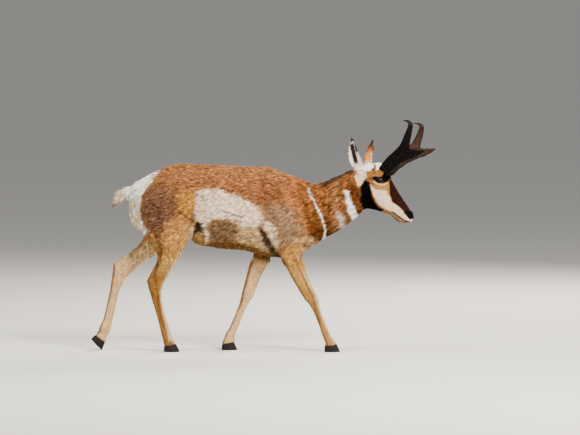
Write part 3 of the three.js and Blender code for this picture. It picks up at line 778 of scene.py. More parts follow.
def modified_mesh(piece):
    """A plain mesh of what a piece's modifiers make. The piece itself goes."""
    seen = piece.evaluated_get(bpy.context.evaluated_depsgraph_get())
    mesh = bpy.data.meshes.new_from_object(seen)
    bpy.data.objects.remove(piece)
    return mesh


def remeshed(places, faces, cell):
    """One closed surface round everything, in even quads."""
    source = piece_from("remesh_source", mesh_from("remesh_source", places, faces))
    remesh = source.modifiers.new("cells", "REMESH")
    remesh.mode = "VOXEL"
    remesh.voxel_size = cell
    remesh.use_smooth_shade = True
    result = modified_mesh(source)
    places, faces = corners_of(result), faces_of(result)
    bpy.data.meshes.remove(result)
    return largest_island(places, faces)


def with_fewer_faces(places, faces, limit):
    """The same shape with its faces joined until there are at most limit triangles."""
    source = piece_from("fewer_source", mesh_from("fewer_source", places, faces))
    decimate = source.modifiers.new("fewer", "DECIMATE")
    decimate.ratio = min(1, limit / ((faces.shape[1] - 2) * len(faces)))
    result = modified_mesh(source)
    places, faces = corners_of(result), triangles_of(result)
    bpy.data.meshes.remove(result)
    return places, faces


FLESH = [name for name in nodes if not name.startswith(("eye", "horn", "hoof"))]


def region_shares(places, edges):
    """How much each place belongs to each region, with soft borders."""
    all_places, all_faces, owner, start = [], [], [], 0
    for name in FLESH:
        solid, faces = merged_copy(name)
        all_places.append(solid)
        all_faces.append(faces + start)
        owner += [REGIONS.index(region_of(name))] * len(faces)
        start += len(solid)
    tree = BVHTree.FromPolygons(
        np.concatenate(all_places).tolist(), np.concatenate(all_faces).tolist(), all_triangles=True
    )
    nearest = [owner[tree.find_nearest(place)[2]] for place in places.tolist()]
    shares = np.zeros((len(places), len(REGIONS)))
    shares[np.arange(len(places)), nearest] = 1
    return relaxed(shares, edges, np.full(len(places), 0.5), BORDER_ROUNDS)


def make_skin():
    """The flesh as one soft surface under the coat, with its faces joined to a fair number."""
    places, faces = joined_solids(FLESH, SKIN_SWELL)
    fills = [ball(eye, EYE_RADIUS * 0.98) for eye in EYES.values()]
    ahead, off, up = HORN_ROOT
    for side in SIDES.values():
        root = out_of_head(np.array([[ahead, side * off, up]]))[0]
        fills.append(ball(root, HORN_ROOT_RADIUS))
    for fill_places, fill_faces in fills:
        faces = np.concatenate([faces, fill_faces + len(places)])
        places = np.concatenate([places, fill_places])
    places, faces = remeshed(places, faces, SKIN_CELL)
    edges = edges_of(faces)
    shares = region_shares(places, edges)
    share = dict(zip(REGIONS, shares.T))
    soft = share["trunk"] + share["neck"] * 0.9 + share["thigh"] * 0.5 + share["tail"] * 0.05
    soft = 0.5 * soft + 2 * share["trunk"] * share["shank"]
    places = relaxed(places, edges, np.clip(soft, 0, 0.5), SKIN_ROUNDS)
    firm = np.clip(0.5 * (1 - 0.9 * share["ear"]), 0, 0.5)
    places = relaxed(places, edges, firm, EDGE_ROUNDS)
    depth = shares @ np.array([COAT[name][0] for name in REGIONS])
    depth *= ramp(places[:, 2], 0.04, 0.03)
    places = places - normals_of(places, faces) * depth[:, None]
    return with_fewer_faces(places, faces, SKIN_FACES)


def finer_where(places, faces, wanted):
    """Halves the edges of the faces whose middles are wanted."""
    middles = places[faces].mean(axis=1)
    chosen = wanted(middles)
    form = bmesh.new()
    corners = [form.verts.new(place) for place in places.tolist()]
    split = set()
    for corner_numbers, take in zip(faces.tolist(), chosen.tolist()):
        face = form.faces.new([corners[number] for number in corner_numbers])
        if take:
            split.update(face.edges)
    bmesh.ops.subdivide_edges(form, edges=list(split), cuts=1, use_grid_fill=True)
    bmesh.ops.triangulate(form, faces=form.faces[:])
    mesh = bpy.data.meshes.new("finer")
    form.to_mesh(mesh)
    form.free()
    result = corners_of(mesh), triangles_of(mesh)
    bpy.data.meshes.remove(mesh)
    return result


# Swells and hollows of the body in the side view, in millimetres: line, half width and height.
BODY_FORMS = [
    ([(55, 835), (100, 745), (156, 650)], 24, 4.5),
    ([(-7, 800), (12, 701), (22, 610)], 20, -5),
    ([(110, 640), (140, 580)], 42, 5),
    ([(215, 790), (262, 690), (300, 590)], 16, -3.5),
    ([(-324, 750), (-330, 690), (-338, 630)], 15, -7),
    ([(-365, 745), (-362, 690)], 18, 3),
    ([(-500, 720), (-455, 680)], 60, 6),
    ([(-404, 668), (-370, 648), (-337, 622)], 7, -3.5),
    ([(-345, 600), (-366, 500), (-415, 420)], 10, 2.5),
    ([(-514, 560), (-495, 518), (-488, 485), (-493, 446)], 9, -4.5),
    ([(-289, 600), (-272, 560), (-262, 520)], 7, -4),
    ([(-276, 536), (-198, 542), (-111, 532), (-50, 520)], 9, 3),
    ([(-276, 520), (-198, 524), (-111, 514)], 8, -3),
    ([(-198, 676), (-159, 667), (-130, 655), (-97, 648)], 5, -3.5),
    ([(-198, 686), (-159, 677), (-130, 665), (-97, 658)], 7, 2),
    ([(-135, 631), (-102, 617)], 6, -3),
    ([(-82, 560), (-60, 588), (-25, 590)], 7, 3),
    ([(-10, 585), (28, 540), (62, 485), (100, 430)], 14, -6),
    ([(60, 600), (80, 540), (84, 500)], 10, 3.5),
    ([(76, 488), (134, 524), (162, 526), (230, 508)], 9, -4),
    ([(98, 480), (104, 478)], 16, 4),
    ([(-505, 420), (-535, 345)], 7, -3.5),
    ([(-640, 455), (-698, 405)], 8, -3.5),
    ([(-766, 106), (-768, 100)], 22, 4.5),
    ([(-725, 250), (-745, 180)], 14, -1.8),
    ([(-684, 322), (-690, 312)], 20, 2.5),
    ([(-512, 288), (-510, 278)], 20, 2.5),
    ([(-500, 215), (-478, 130)], 14, -1.8),
    ([(-452, 60), (-448, 52)], 18, 3.5),
    ([(245, 256), (248, 242)], 20, 3.5),
    ([(275, 190), (300, 110)], 14, -1.8),
    ([(322, 48), (328, 38)], 18, 3.5),
    ([(-68, 262), (-74, 248)], 20, 3.0),
    ([(-105, 190), (-140, 120)], 14, -1.8),
    ([(-164, 66), (-168, 58)], 18, 3.5),
    ([(175, 420), (235, 300)], 8, -2.5),
    ([(125, 400), (195, 300)], 8, 1.5),
    ([(205, 250), (300, 80)], 5, -1.5),
    ([(-520, 260), (-470, 90)], 5, -1.5),
]


FORM_STRENGTH = 1.4
GROIN_DEPTH = 16
RIB_SPACING, RIB_HEIGHT = 36, 0.9


def body_forms(places, faces, shares):
    """Muscle, fold and hollow, raised from the skin along its own slope."""
    share = dict(zip(REGIONS, shares.T))
    normals = normals_of(places, faces)
    flat = body_chart(places)
    x, high = flat.T
    raised = np.zeros(len(places))
    for line, width, height in BODY_FORMS:
        raised += FORM_STRENGTH * height * bell(away_from_line(flat, line), width)
    raised -= GROIN_DEPTH * ease(depth_inside(flat, GROIN) / 14 + 0.3)
    ribs = np.cos((x + 0.35 * high) / RIB_SPACING * 2 * math.pi)
    within = ramp(x, -270, 60) * ramp(x, 10, -60) * ramp(high, 600, 60)
    raised += RIB_HEIGHT * ribs * within * ramp(high, 810, -60)
    body = np.clip(1 - share["head"] - share["ear"], 0, 1)
    lumps = grain(places, 0.05, 31) * 1.6 + grain(places, 0.022, 32) * 0.7
    lumps = lumps * (share["trunk"] + share["neck"] * 0.8)
    raised = raised * ease(np.abs(normals[:, 1]) * 2) + lumps
    return places + normals * (raised * MM * body)[:, None]


# Forms of the head, in millimetres: place ahead of the poll, off its middle and up, spread and
# swell. Both sides have them.
HEAD_FORMS = [
    ((58, 46, 770), (30, 26, 34), 3.0),
    ((100, 50, 787), (26, 14, 7), 3.0),
    ((128, 40, 772), (34, 14, 8), 2.0),
    ((92, 50, 853), (26, 14, 8), 2.5),
    ((130, 44, 806), (14, 12, 10), -3.5),
    ((150, 30, 745), (40, 14, 12), -2.5),
    ((46, 50, 824), (18, 14, 14), -2.5),
    ((212, 20, 655), (22, 12, 12), 1.8),
    ((150, 0, 800), (34, 10, 24), -1.5),
    ((196, 16, 622), (14, 10, 8), 1.5),
]
NOSTRIL = ((233, 14, 668), (8.5, 5.0, 4.0), -6.0)


# The eye's opening, in millimetres: half its length, its rise and its fall from the middle.
LID_LENGTH, LID_RISE, LID_FALL = 18.0, 10.5, 9.0
LID_SLOPE = 0.10
# Round each eye, in metres: how thick the lid is, how much more its upper edge stands out, how
# deep the flesh lies in the opening, and how far from the eye's middle all this reaches.
LID_THICKNESS, LID_FOLD, OPENING_DEPTH, LID_REACH = 0.0012, 0.0010, 0.004, 0.040


def folded_head(places):
    """Places in the head's own axes, in millimetres, with both sides folded onto the left."""
    head = in_head(places) * 1000
    head[:, 1] = np.abs(head[:, 1])
    return head


def head_forms(places, faces):
    """Cheek, brow, tear groove, nostrils, mouth and the lids around the eyes."""
    normals = normals_of(places, faces)
    head = folded_head(places)
    raised = np.zeros(len(places))
    for middle, spread, height in HEAD_FORMS + [NOSTRIL]:
        far = (((head - middle) / spread) ** 2).sum(axis=1)
        raised += height * np.exp(-far)
    rim = np.sqrt((((head - NOSTRIL[0]) / NOSTRIL[1]) ** 2).sum(axis=1))
    raised += 1.3 * bell(rim - 1.9, 0.45)
    near_head = ramp(head[:, 0], -20, 40) * (head[:, 2] > 560)
    mouth = away_from_line(head_chart(places), MOUTH)
    low = np.clip(np.abs(normals[:, 1]) * 2.5, 0, 1)
    raised += (bell(mouth - 6, 3) - 3.0 * bell(mouth, 2.2)) * low
    places = places + normals * (raised * MM * near_head)[:, None]

    for name, side in SIDES.items():
        centre = np.array(EYES[name])
        from_eye = places - centre
        far = np.linalg.norm(from_eye, axis=1)
        way = from_eye / np.maximum(far, 1e-6)[:, None]
        out, ahead, up = eye_axes(side)
        across, rise = way @ ahead * EYE_RADIUS * 1000, way @ up * EYE_RADIUS * 1000
        level = rise + across * LID_SLOPE
        half_opening = np.where(level > 0, LID_RISE, LID_FALL)
        ring = np.sqrt((across / LID_LENGTH) ** 2 + (level / half_opening) ** 2)
        here = (way @ out > 0.15) & (far < LID_REACH)
        lid = EYE_RADIUS + LID_THICKNESS + LID_FOLD * ramp(level, 2, 5)
        around = lid + (np.maximum(far, lid) - lid) * ramp(ring, 1.15, 0.7)
        reach = np.where(ring < 1.0, EYE_RADIUS - OPENING_DEPTH, around)
        places[here] = (centre + way * reach[:, None])[here]
    return places


def eye_axes(side):
    """An eye's way out, its way ahead and its way up, in the row frame."""
    out = np.array([0.30, side * 0.95, 0.06])
    out /= np.linalg.norm(out)
    ahead = np.array([1, 0, -0.35]) - out * (out @ np.array([1, 0, -0.35]))
    ahead /= np.linalg.norm(ahead)
    up = np.cross(out, ahead) * -side
    return out @ HEAD_AXES, ahead @ HEAD_AXES, up @ HEAD_AXES


def face_detail(middles):
    """Faces on the front of the head, under the crown."""
    ahead, _, up = folded_head(middles).T
    return (ahead > 20) & (ahead < 300) & (up > 590) & (up < 890)


def fine_detail(middles):
    """Faces near the eyes, the nostrils and the mouth."""
    near = np.zeros(len(middles), bool)
    for eye in EYES.values():
        near |= np.linalg.norm(middles - np.array(eye), axis=1) < 0.034
    head = folded_head(middles)
    near |= np.linalg.norm((head - NOSTRIL[0]) / (20, 16, 16), axis=1) < 1
    mouth = away_from_line(head_chart(middles), MOUTH)
    return near | ((mouth < 7) & (head[:, 0] > 100))


def lie_of(places, normals, shares):
    """The way the hair points, along the skin."""
    share = dict(zip(REGIONS, shares.T))
    count = len(places)
    low = ramp(places[:, 2], MIDDLE + 0.62, -0.25)
    body = np.stack([-np.ones(count), np.zeros(count), -0.25 - 0.5 * low], axis=1)
    rump = ramp(places[:, 0], -0.50, -0.08)[:, None]
    body = body * (1 - rump) + np.array([-0.35, 0, -0.9]) * rump
    side = np.sign(in_head(places)[:, 1])[:, None]
    ear = unit((np.array([-0.02, 0, 0.16]) + side * np.array([0, 0.094, 0])) @ HEAD_AXES)
    lies = {
        "trunk": body,
        "neck": (-0.8, 0, -0.55),
        "tail": (-0.6, 0, -0.75),
        "thigh": (-0.35, 0, -1),
        "shank": (-0.1, 0, -1),
        "foot": (0, 0, -1),
        "head": -HEAD_AXES[0] + np.array([0, 0, -0.15]),
        "ear": ear,
    }
    way = sum(share[name][:, None] * np.asarray(lie) for name, lie in lies.items())
    way = way + (grain(places, 0.05, 21) * 0.35)[:, None] * np.cross(normals, way)
    return along_skin(way, normals)


def unwrapped(places, faces):
    """The skin's own unwrap, as a UV corner for each face corner."""
    mesh = mesh_from("unwrap_source", places, faces)
    source = piece_from("unwrap_source", mesh)
    mesh.uv_layers.new(name="OFBake")
    for other in bpy.context.selected_objects:
        other.select_set(False)
    source.select_set(True)
    bpy.context.view_layer.objects.active = source
    bpy.ops.object.mode_set(mode="EDIT")
    bpy.ops.mesh.select_all(action="SELECT")
    bpy.ops.uv.smart_project(angle_limit=math.radians(66), island_margin=0.002)
    bpy.ops.object.mode_set(mode="OBJECT")
    uv = np.empty(len(mesh.loops) * 2, np.float32)
    mesh.uv_layers["OFBake"].data.foreach_get("uv", uv)
    bpy.data.objects.remove(source)
    bpy.data.meshes.remove(mesh)
    return uv.reshape(-1, 3, 2).astype(float)


def scattered(per_face, rng):
    """Face numbers and corner weights of points spread evenly, per_face of them on each face."""
    reach = np.cumsum(per_face)
    count = int(reach[-1])
    at = (np.arange(count) + rng.random(count)) * (reach[-1] / count)
    chosen = np.searchsorted(reach, at).clip(0, len(per_face) - 1)
    a, b = rng.random(count), rng.random(count)
    fold = a + b > 1
    a[fold], b[fold] = 1 - a[fold], 1 - b[fold]
    return chosen, np.stack([1 - a - b, a, b], axis=1)


# A lock's corners: its foot (two sides and top), its middle (the same) and its tip.
LOCK_FACES = np.array([
    [0, 2, 1], [0, 1, 4], [0, 4, 3], [1, 2, 5], [1, 5, 4],
    [2, 0, 3], [2, 3, 5], [3, 4, 6], [4, 5, 6], [5, 3, 6],
])
LOCK_PATCH = np.array([[-1, -1], [1, -1], [0, -1], [-1, 0], [1, 0], [0, 0], [0, 1]]) * 0.0015
LOCK_SHADE = np.array([0.40, 0.40, 0.48, 0.88, 0.88, 0.96, 1.32])
LOCK_THICKNESS, LOCK_MIDDLE = 0.35, 0.45
LOCK_SINK = 0.0006
LOCK_SPACING = 0.0036


def locks_mesh(name, locks):
    """Closed pointed locks in one mesh, each with a small patch of the skin's unwrap."""
    root, way, normal = locks["root"], locks["way"], locks["normal"]
    count = len(root)
    side = unit(np.cross(normal, way))
    length, width, height = (locks[key][:, None] for key in ("length", "width", "height"))
    thick = width * LOCK_THICKNESS
    base = root - normal * LOCK_SINK
    middle = root + way * length * LOCK_MIDDLE + normal * height * 0.8
    tip = root + way * length + normal * height
    places = np.stack(
        [
            base - side * width * 0.5,
            base + side * width * 0.5,
            base + normal * thick,
            middle - side * width * 0.42,
            middle + side * width * 0.42,
            middle + normal * thick,
            tip,
        ],
        axis=1,
    ).reshape(-1, 3)
    faces = (np.arange(count)[:, None, None] * 7 + LOCK_FACES).reshape(-1, 3)
    mesh = mesh_from(name, places, faces)
    patch = (locks["uv"][:, None, :] + LOCK_PATCH).reshape(-1, 2)
    layer = mesh.uv_layers.new(name="OFBake")
    layer.data.foreach_set("uv", patch[faces.ravel()].astype(np.float32).ravel())
    store_colour(mesh, (locks["colour"][:, None, :] * LOCK_SHADE[None, :, None]).reshape(-1, 3))
    own = np.stack([-side, side, normal, -side, side, normal, way], axis=1)
    facing = unit((normal[:, None, :] * 0.62 + own * 0.5).reshape(-1, 3))
    mesh.normals_split_custom_set_from_vertices(facing.tolist())
    return mesh


def store_colour(mesh, tint):
    layer = mesh.color_attributes.new(name="coat_colour", type="FLOAT_COLOR", domain="POINT")
    full = np.ones((len(tint), 4), np.float32)
    full[:, :3] = np.clip(tint, 0, 1)
    layer.data.foreach_set("color", full.ravel())


def tuft_of(root, share, rng):
    """The tuft that each lock belongs to: its place, its brightness and its lift."""
    spacing = share @ np.array([TUFT_SPACING[name] for name in REGIONS])
    first = rng.random(len(root)) < (LOCK_SPACING / np.maximum(spacing, LOCK_SPACING)) ** 2
    centres = root[first]
    tree = KDTree(len(centres))
    for number, centre in enumerate(centres.tolist()):
        tree.insert(centre, number)
    tree.balance()
    tuft = np.array([tree.find(place)[1] for place in root.tolist()])
    bright = rng.standard_normal(len(centres))
    lift = rng.random(len(centres))
    return centres[tuft], bright[tuft], lift[tuft]


def make_coat(places, faces, normals, shares, uv, material):
    """Locks over the whole skin, in pieces by region."""
    rng = np.random.default_rng(11)
    table = np.array([COAT[name] for name in REGIONS])
    corner = places[faces]
    across = np.cross(corner[:, 1] - corner[:, 0], corner[:, 2] - corner[:, 0])
    area = np.linalg.norm(across, axis=1) / 2
    density = shares[faces].mean(axis=1) @ table[:, 3]
    chosen, weights = scattered(density * area, rng)

    def weighted(corner_values):
        return (corner_values * weights[:, :, None]).sum(axis=1)

    def at_roots(values):
        return weighted(values[faces[chosen]])

    root, normal, share = at_roots(places), unit(at_roots(normals)), at_roots(shares)
    count = len(root)
    centre, bright, lift = tuft_of(root, share, rng)
    way = lie_of(root, normal, share)
    turn = ((rng.random(count) - 0.5) * 0.45)[:, None]
    way = way * np.cos(turn) + np.cross(normal, way) * np.sin(turn)
    depth, length, width, _ = (share @ table).T
    length = length * (0.75 + 0.5 * rng.random(count))
    way = along_skin(way * length[:, None] + (centre - root) * 0.75, normal)
    width = width * (0.7 + 0.6 * rng.random(count))
    height = depth * (0.25 + 0.75 * lift) * (0.8 + 0.4 * rng.random(count))
    part = dict(zip(REGIONS, share.T))
    x = body_chart(root)[:, 0]
    mane = ramp(normal[:, 2], 0.80, 0.12) * ramp(x, 262, 40) * ramp(x, 450, -15) * part["neck"]
    rump = ramp(x, -560, -30) * part["trunk"]
    height = (height + mane * 0.011) * (1 + 0.3 * rump)
    length = (length + mane * 0.006) * (1 + 0.25 * rump)

    colour = coat_colour(root + way * length[:, None] * 0.5, normal, share)
    pale = ramp(colour.mean(axis=1), 0.4, 0.2)
    spread = 0.36 + 0.26 * part["neck"] - 0.16 * pale
    spread = spread * (1 - 0.6 * (part["shank"] + part["foot"]))
    own = 0.24 * rng.standard_normal(count)
    colour = colour * np.exp(spread * bright - spread**2 / 2 + own - 0.02)[:, None]
    speck = (bright > 1.25) & (pale < 0.5)
    colour[speck] *= (1 - 0.5 * (0.4 + 0.6 * part["neck"][speck]))[:, None]

    region = share.argmax(axis=1)
    groups = {f"coat_{name}": region == number for number, name in enumerate(REGIONS)}
    trunk = groups.pop("coat_trunk")
    before_barrel, before_rump = root[:, 0] > SHOULDERS_END, root[:, 0] > BARREL_END
    groups["coat_shoulders"] = trunk & before_barrel
    groups["coat_barrel"] = trunk & before_rump & ~before_barrel
    groups["coat_rump"] = trunk & ~before_rump
    locks = {
        "root": root, "way": way, "normal": normal, "length": length,
        "width": width, "height": height, "colour": colour, "uv": weighted(uv[chosen]),
    }
    furred = ~bare_places(root)
    for name, inside in groups.items():
        every = np.flatnonzero(inside & furred)
        parts = math.ceil(len(every) / LOCKS_IN_PIECE)
        order = every[np.argsort(root[every, 1])]
        for number, some in enumerate(np.array_split(order, parts)):
            title = name if parts == 1 else f"{name}_{number + 1}"
            mesh = locks_mesh(title, {key: value[some] for key, value in locks.items()})
            mesh.materials.append(material)
            finish(piece_from(title, mesh), "coat")


def bare_places(places):
    """Where no hair grows: the eyes' openings, the nose pad and the mouth."""
    bare = np.zeros(len(places), bool)
    for eye in EYES.values():
        bare |= np.linalg.norm(places - np.array(eye), axis=1) < EYE_RADIUS + BARE_ROUND_EYE
    ahead = in_head(places)[:, 0] * 1000
    flat = head_chart(places)
    bare |= (depth_inside(flat, NOSE_PAD) > -1) & (ahead > 150)
    bare |= (away_from_line(flat, MOUTH) < 4.5) & (ahead > 120)
    return bare


def finish(piece, slot, *replaced):
    """Fixes a finished piece to the model and hides the solids it stands for. The slot is not used.
    """
    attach(piece, "root")
    if replaced:
        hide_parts(*replaced)
    return piece


def add_coloured(name, places, faces, colour, material, slot, *replaced):
    """One finished piece from arrays, with its colours."""
    mesh = mesh_from(name, places, faces)
    store_colour(mesh, colour)
    mesh.materials.append(material)
    finish(piece_from(name, mesh), slot, *replaced)


def make_horn(side, material):
    """One forked horn: rough ridges along the sheath, smoothing out to polished tips."""
    names = [f"horn_{side}_beam", f"horn_{side}_prong"]
    places, faces = remeshed(*joined_solids(names, HORN_SWELL), HORN_CELL)
    places = relaxed(places, edges_of(faces), np.full(len(places), 0.5), HORN_ROUNDS)
    normals = normals_of(places, faces)
    head = in_head(places)
    along = unit(np.array([[0.62, 0.25 * SIDES[side], 0.75]]))[0]
    run = (head @ along)[:, None]
    around = head - run * along
    rough = ramp(places[:, 2], 1.06, -0.10)
    ridges = grain(around / 0.005 * 0.9 + run / 0.09, 1, 41)
    pits = grain(head, 0.006, 42)
    height = (ridges * 1.5 + pits * 0.8) * (0.15 + 0.85 * rough)
    burr = bell(places[:, 2] - 0.872, 0.008) * (0.6 + 0.8 * grain(head, 0.007, 43))
    places = places + normals * ((height + burr) * MM)[:, None]
    places, faces = with_fewer_faces(places, faces, HORN_FACES)
    normals = normals_of(places, faces)
    head = in_head(places)
    inward = -(normals @ HEAD_AXES.T)[:, 1] * SIDES[side]
    worn = ease(grain(head, 0.012, 44) + 0.2)
    colour = all_over(HORN_BLACK, len(places))
    colour = mixed(colour, HORN_BROWN, ease(inward * 1.6) * (0.6 + 0.4 * worn))
    colour = mixed(colour, HORN_FLECK, ease(grain(head, 0.0035, 45) * 3 - 1.1) * 0.8)
    colour = mixed(colour, HORN_TIP, ramp(places[:, 2], 1.085, 0.02) * 0.6)
    add_coloured(f"horn_{side}_sheath", places, faces, colour, material, "horn", *names)


def make_foot(foot, material):
    """The two half hooves of a foot, with growth lines and a worn edge."""
    for half in ("outer", "inner"):
        name = f"hoof_{foot}_{half}"
        low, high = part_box(name)
        places, faces = remeshed(*joined_solids([name], HOOF_SWELL), HOOF_CELL)
        sole = places[:, 2] < low.z + HOOF_CELL
        places = relaxed(places, edges_of(faces), np.where(sole, 0.0, 0.5), HOOF_ROUNDS)
        normals = normals_of(places, faces)
        rise = (places[:, 2] - low.z) / (high.z - low.z)
        upright = ease((0.8 - np.abs(normals[:, 2])) / 0.3)
        rings = np.cos(rise * 26 + grain(places, 0.02, 51) * 1.5) * 0.25
        rings = rings + grain(places, 0.004, 52) * 0.15
        places = places + normals * (rings * upright * MM)[:, None]
        places[:, 2] = np.maximum(places[:, 2], 0)
        places, faces = with_fewer_faces(places, faces, HOOF_FACES)
        rise = (places[:, 2] - low.z) / (high.z - low.z)
        colour = all_over(HOOF_BLACK, len(places))
        colour = mixed(colour, HOOF_WORN, ease(0.35 - rise * 1.6) * 0.8)
        colour = mixed(colour, HOOF_BROWN, ease(grain(places, 0.006, 53)) * 0.5)
        add_coloured(f"{name}_horn", places, faces, colour, material, "hoof", name)


# On the eyeball: the cornea's height in metres, and the edges of cornea and iris in degrees.
CORNEA_HEIGHT, CORNEA_EDGE, IRIS_EDGE = 0.0013, 40, 34
EYE_GAP = 0.0004


def make_eye(side, material):
    """An eyeball with a raised cornea over a dark iris and a wide pupil."""
    places, faces = ball((0, 0, 0), EYE_RADIUS - EYE_GAP, 48, 64)
    out, ahead, up = eye_axes(SIDES[side])
    way = unit(places)
    facing = np.clip(way @ out, -1, 1)
    tilt = np.degrees(np.arccos(facing))
    places = places + way * (CORNEA_HEIGHT * ramp(tilt, CORNEA_EDGE, -14))[:, None]
    pupil = ease(1.5 - np.hypot(way @ ahead / 0.36, way @ up / 0.2) * 1.2)
    colour = all_over(EYE_BROWN, len(places))
    colour = mixed(colour, EYE_IRIS, ramp(tilt, IRIS_EDGE, -8) * 0.8)
    colour = mixed(colour, EYE_PUPIL, pupil * (facing > 0))
    colour = mixed(colour, EYE_RIM, ramp(tilt, IRIS_EDGE, 6))
    places = places + np.array(EYES[side])
    add_coloured(f"eyeball_{side}", places, faces, colour, material, "eye", f"eye_{side}")


def set_inputs(node, values):
    for name, value in values.items():
        node.inputs[name].default_value = value


def join_up(tree, *links):
    """Joins nodes: from which node and output, to which node and input."""
    for source, output, target, entry in links:
        tree.links.new(source.outputs[output], target.inputs[entry])


# What the lashes' node group is told, and of which kind.
LASH_INPUTS = {
    "Lash length": "Float", "Lash thickness": "Float", "Lashes": "Int",
    "Lean": "Vector", "Seed": "Int", "Hair": "Material",
}


def lash_tree():
    """Lashes along a line: a thin cone on each point, leaning the way that the input gives."""
    tree = bpy.data.node_groups.new("lashes", "GeometryNodeTree")
    tree.is_modifier = True
    for title, way in (("Geometry", "INPUT"), ("Geometry", "OUTPUT")):
        tree.interface.new_socket(title, in_out=way, socket_type="NodeSocketGeometry")
    for title, kind in LASH_INPUTS.items():
        tree.interface.new_socket(title, in_out="INPUT", socket_type=f"NodeSocket{kind}")
    node = tree.nodes.new
    inputs, output = node("NodeGroupInput"), node("NodeGroupOutput")
    curve = node("GeometryNodeMeshToCurve")
    points = node("GeometryNodeCurveToPoints")
    points.mode = "COUNT"
    cone = node("GeometryNodeMeshCone")
    set_inputs(cone, {"Vertices": 5, "Side Segments": 2})
    put = node("GeometryNodeInstanceOnPoints")
    turn = node("FunctionNodeAlignEulerToVector")
    turn.axis = "Z"
    vary = node("FunctionNodeRandomValue")
    set_inputs(vary, {"Min": 0.7, "Max": 1.15})
    stray = node("FunctionNodeRandomValue")
    stray.data_type = "FLOAT_VECTOR"
    set_inputs(stray, {"Min": (-0.25, -0.25, -0.2), "Max": (0.25, 0.25, 0.2)})
    lean = node("ShaderNodeVectorMath")
    real = node("GeometryNodeRealizeInstances")
    hair = node("GeometryNodeSetMaterial")
    join_up(
        tree,
        (inputs, "Geometry", curve, "Mesh"),
        (curve, "Curve", points, "Curve"),
        (inputs, "Lashes", points, "Count"),
        (inputs, "Lash length", cone, "Depth"),
        (inputs, "Lash thickness", cone, "Radius Bottom"),
        (inputs, "Lean", lean, 0),
        (stray, 0, lean, 1),
        (inputs, "Seed", vary, "Seed"),
        (inputs, "Seed", stray, "Seed"),
        (lean, "Vector", turn, "Vector"),
        (points, "Points", put, "Points"),
        (cone, "Mesh", put, "Instance"),
        (turn, "Rotation", put, "Rotation"),
        (vary, 1, put, "Scale"),
        (put, "Instances", real, "Geometry"),
        (real, "Geometry", hair, "Geometry"),
        (inputs, "Hair", hair, "Material"),
        (hair, "Geometry", output, "Geometry"),
    )
    return tree


# The lashes' line, in millimetres: half its length, its rise, and how far it stands out from the
# eye's middle. Then its degrees round the lid, and each lash's length and thickness in metres.
LASH_SPAN, LASH_RISE, LASH_OUT, LASH_GAP = 17.0, 10.2, 19.0, 1.2
LASH_DEGREES = range(12, 169, 6)
LASH_LENGTH, LASH_THICKNESS, LASH_COUNT = 0.0095, 0.0004, 46


def make_lashes(side, tree, material):
    """Long dark lashes over the upper lid, made by Geometry Nodes and kept as a plain mesh."""
    name = f"lashes_{side}"
    centre = np.array(EYES[side])
    out, ahead, up = eye_axes(SIDES[side])
    line = []
    for turn in np.radians(LASH_DEGREES):
        across, rise = LASH_SPAN * math.cos(turn), LASH_RISE * math.sin(turn)
        depth = math.sqrt(max(LASH_OUT**2 - across**2 - rise**2, 1)) + LASH_GAP
        place = out * depth + ahead * across + up * (rise - across * LID_SLOPE)
        line.append(tuple(centre + place * MM))
    mesh = bpy.data.meshes.new(name)
    mesh.from_pydata(line, [(k, k + 1) for k in range(len(line) - 1)], [])
    piece = piece_from(name, mesh)
    lashes = piece.modifiers.new("lashes", "NODES")
    lashes.node_group = tree
    values = {
        "Lash length": LASH_LENGTH, "Lash thickness": LASH_THICKNESS, "Lashes": LASH_COUNT,
        "Lean": tuple(out + up * 0.15), "Seed": 5, "Hair": material,
    }
    for item in tree.interface.items_tree:
        if item.in_out == "INPUT" and item.name in values:
            lashes[item.identifier] = values[item.name]
    made = modified_mesh(piece)
    store_colour(made, all_over(BLACK, len(made.vertices)))
    finish(piece_from(name, made), "coat")


def new_material(name, roughness, gloss):
    material = bpy.data.materials.new(name)
    material.use_nodes = True
    tree = material.node_tree
    tree.nodes.clear()
    output = tree.nodes.new("ShaderNodeOutputMaterial")
    shader = tree.nodes.new("ShaderNodeBsdfPrincipled")
    set_inputs(shader, {"Roughness": roughness, "Specular IOR Level": gloss})
    join_up(tree, (shader, "BSDF", output, "Surface"))
    return material, tree, shader


def grained_material(name, scale, stretch, spread, bump_height, roughness, gloss):
    """The piece's own colours, with a grain of lighter and darker bumps."""
    material, tree, shader = new_material(name, roughness, gloss)
    colour = tree.nodes.new("ShaderNodeAttribute")
    colour.attribute_name = "coat_colour"
    place = tree.nodes.new("ShaderNodeTexCoord")
    spin = tree.nodes.new("ShaderNodeMapping")
    set_inputs(spin, {"Scale": stretch})
    noise = tree.nodes.new("ShaderNodeTexNoise")
    set_inputs(noise, {"Scale": scale, "Detail": 4, "Roughness": 0.6})
    level = tree.nodes.new("ShaderNodeMapRange")
    set_inputs(level, {"From Min": 0.25, "From Max": 0.75})
    set_inputs(level, {"To Min": 1 - spread, "To Max": 1 + spread})
    mix = tree.nodes.new("ShaderNodeVectorMath")
    mix.operation = "SCALE"
    bump = tree.nodes.new("ShaderNodeBump")
    set_inputs(bump, {"Strength": 0.6, "Distance": bump_height})
    join_up(
        tree,
        (place, "Object", spin, "Vector"),
        (spin, "Vector", noise, "Vector"),
        (noise, "Fac", level, "Value"),
        (colour, "Color", mix, 0),
        (level, "Result", mix, "Scale"),
        (mix, "Vector", shader, "Base Color"),
        (noise, "Fac", bump, "Height"),
        (bump, "Normal", shader, "Normal"),
    )
    return material, shader


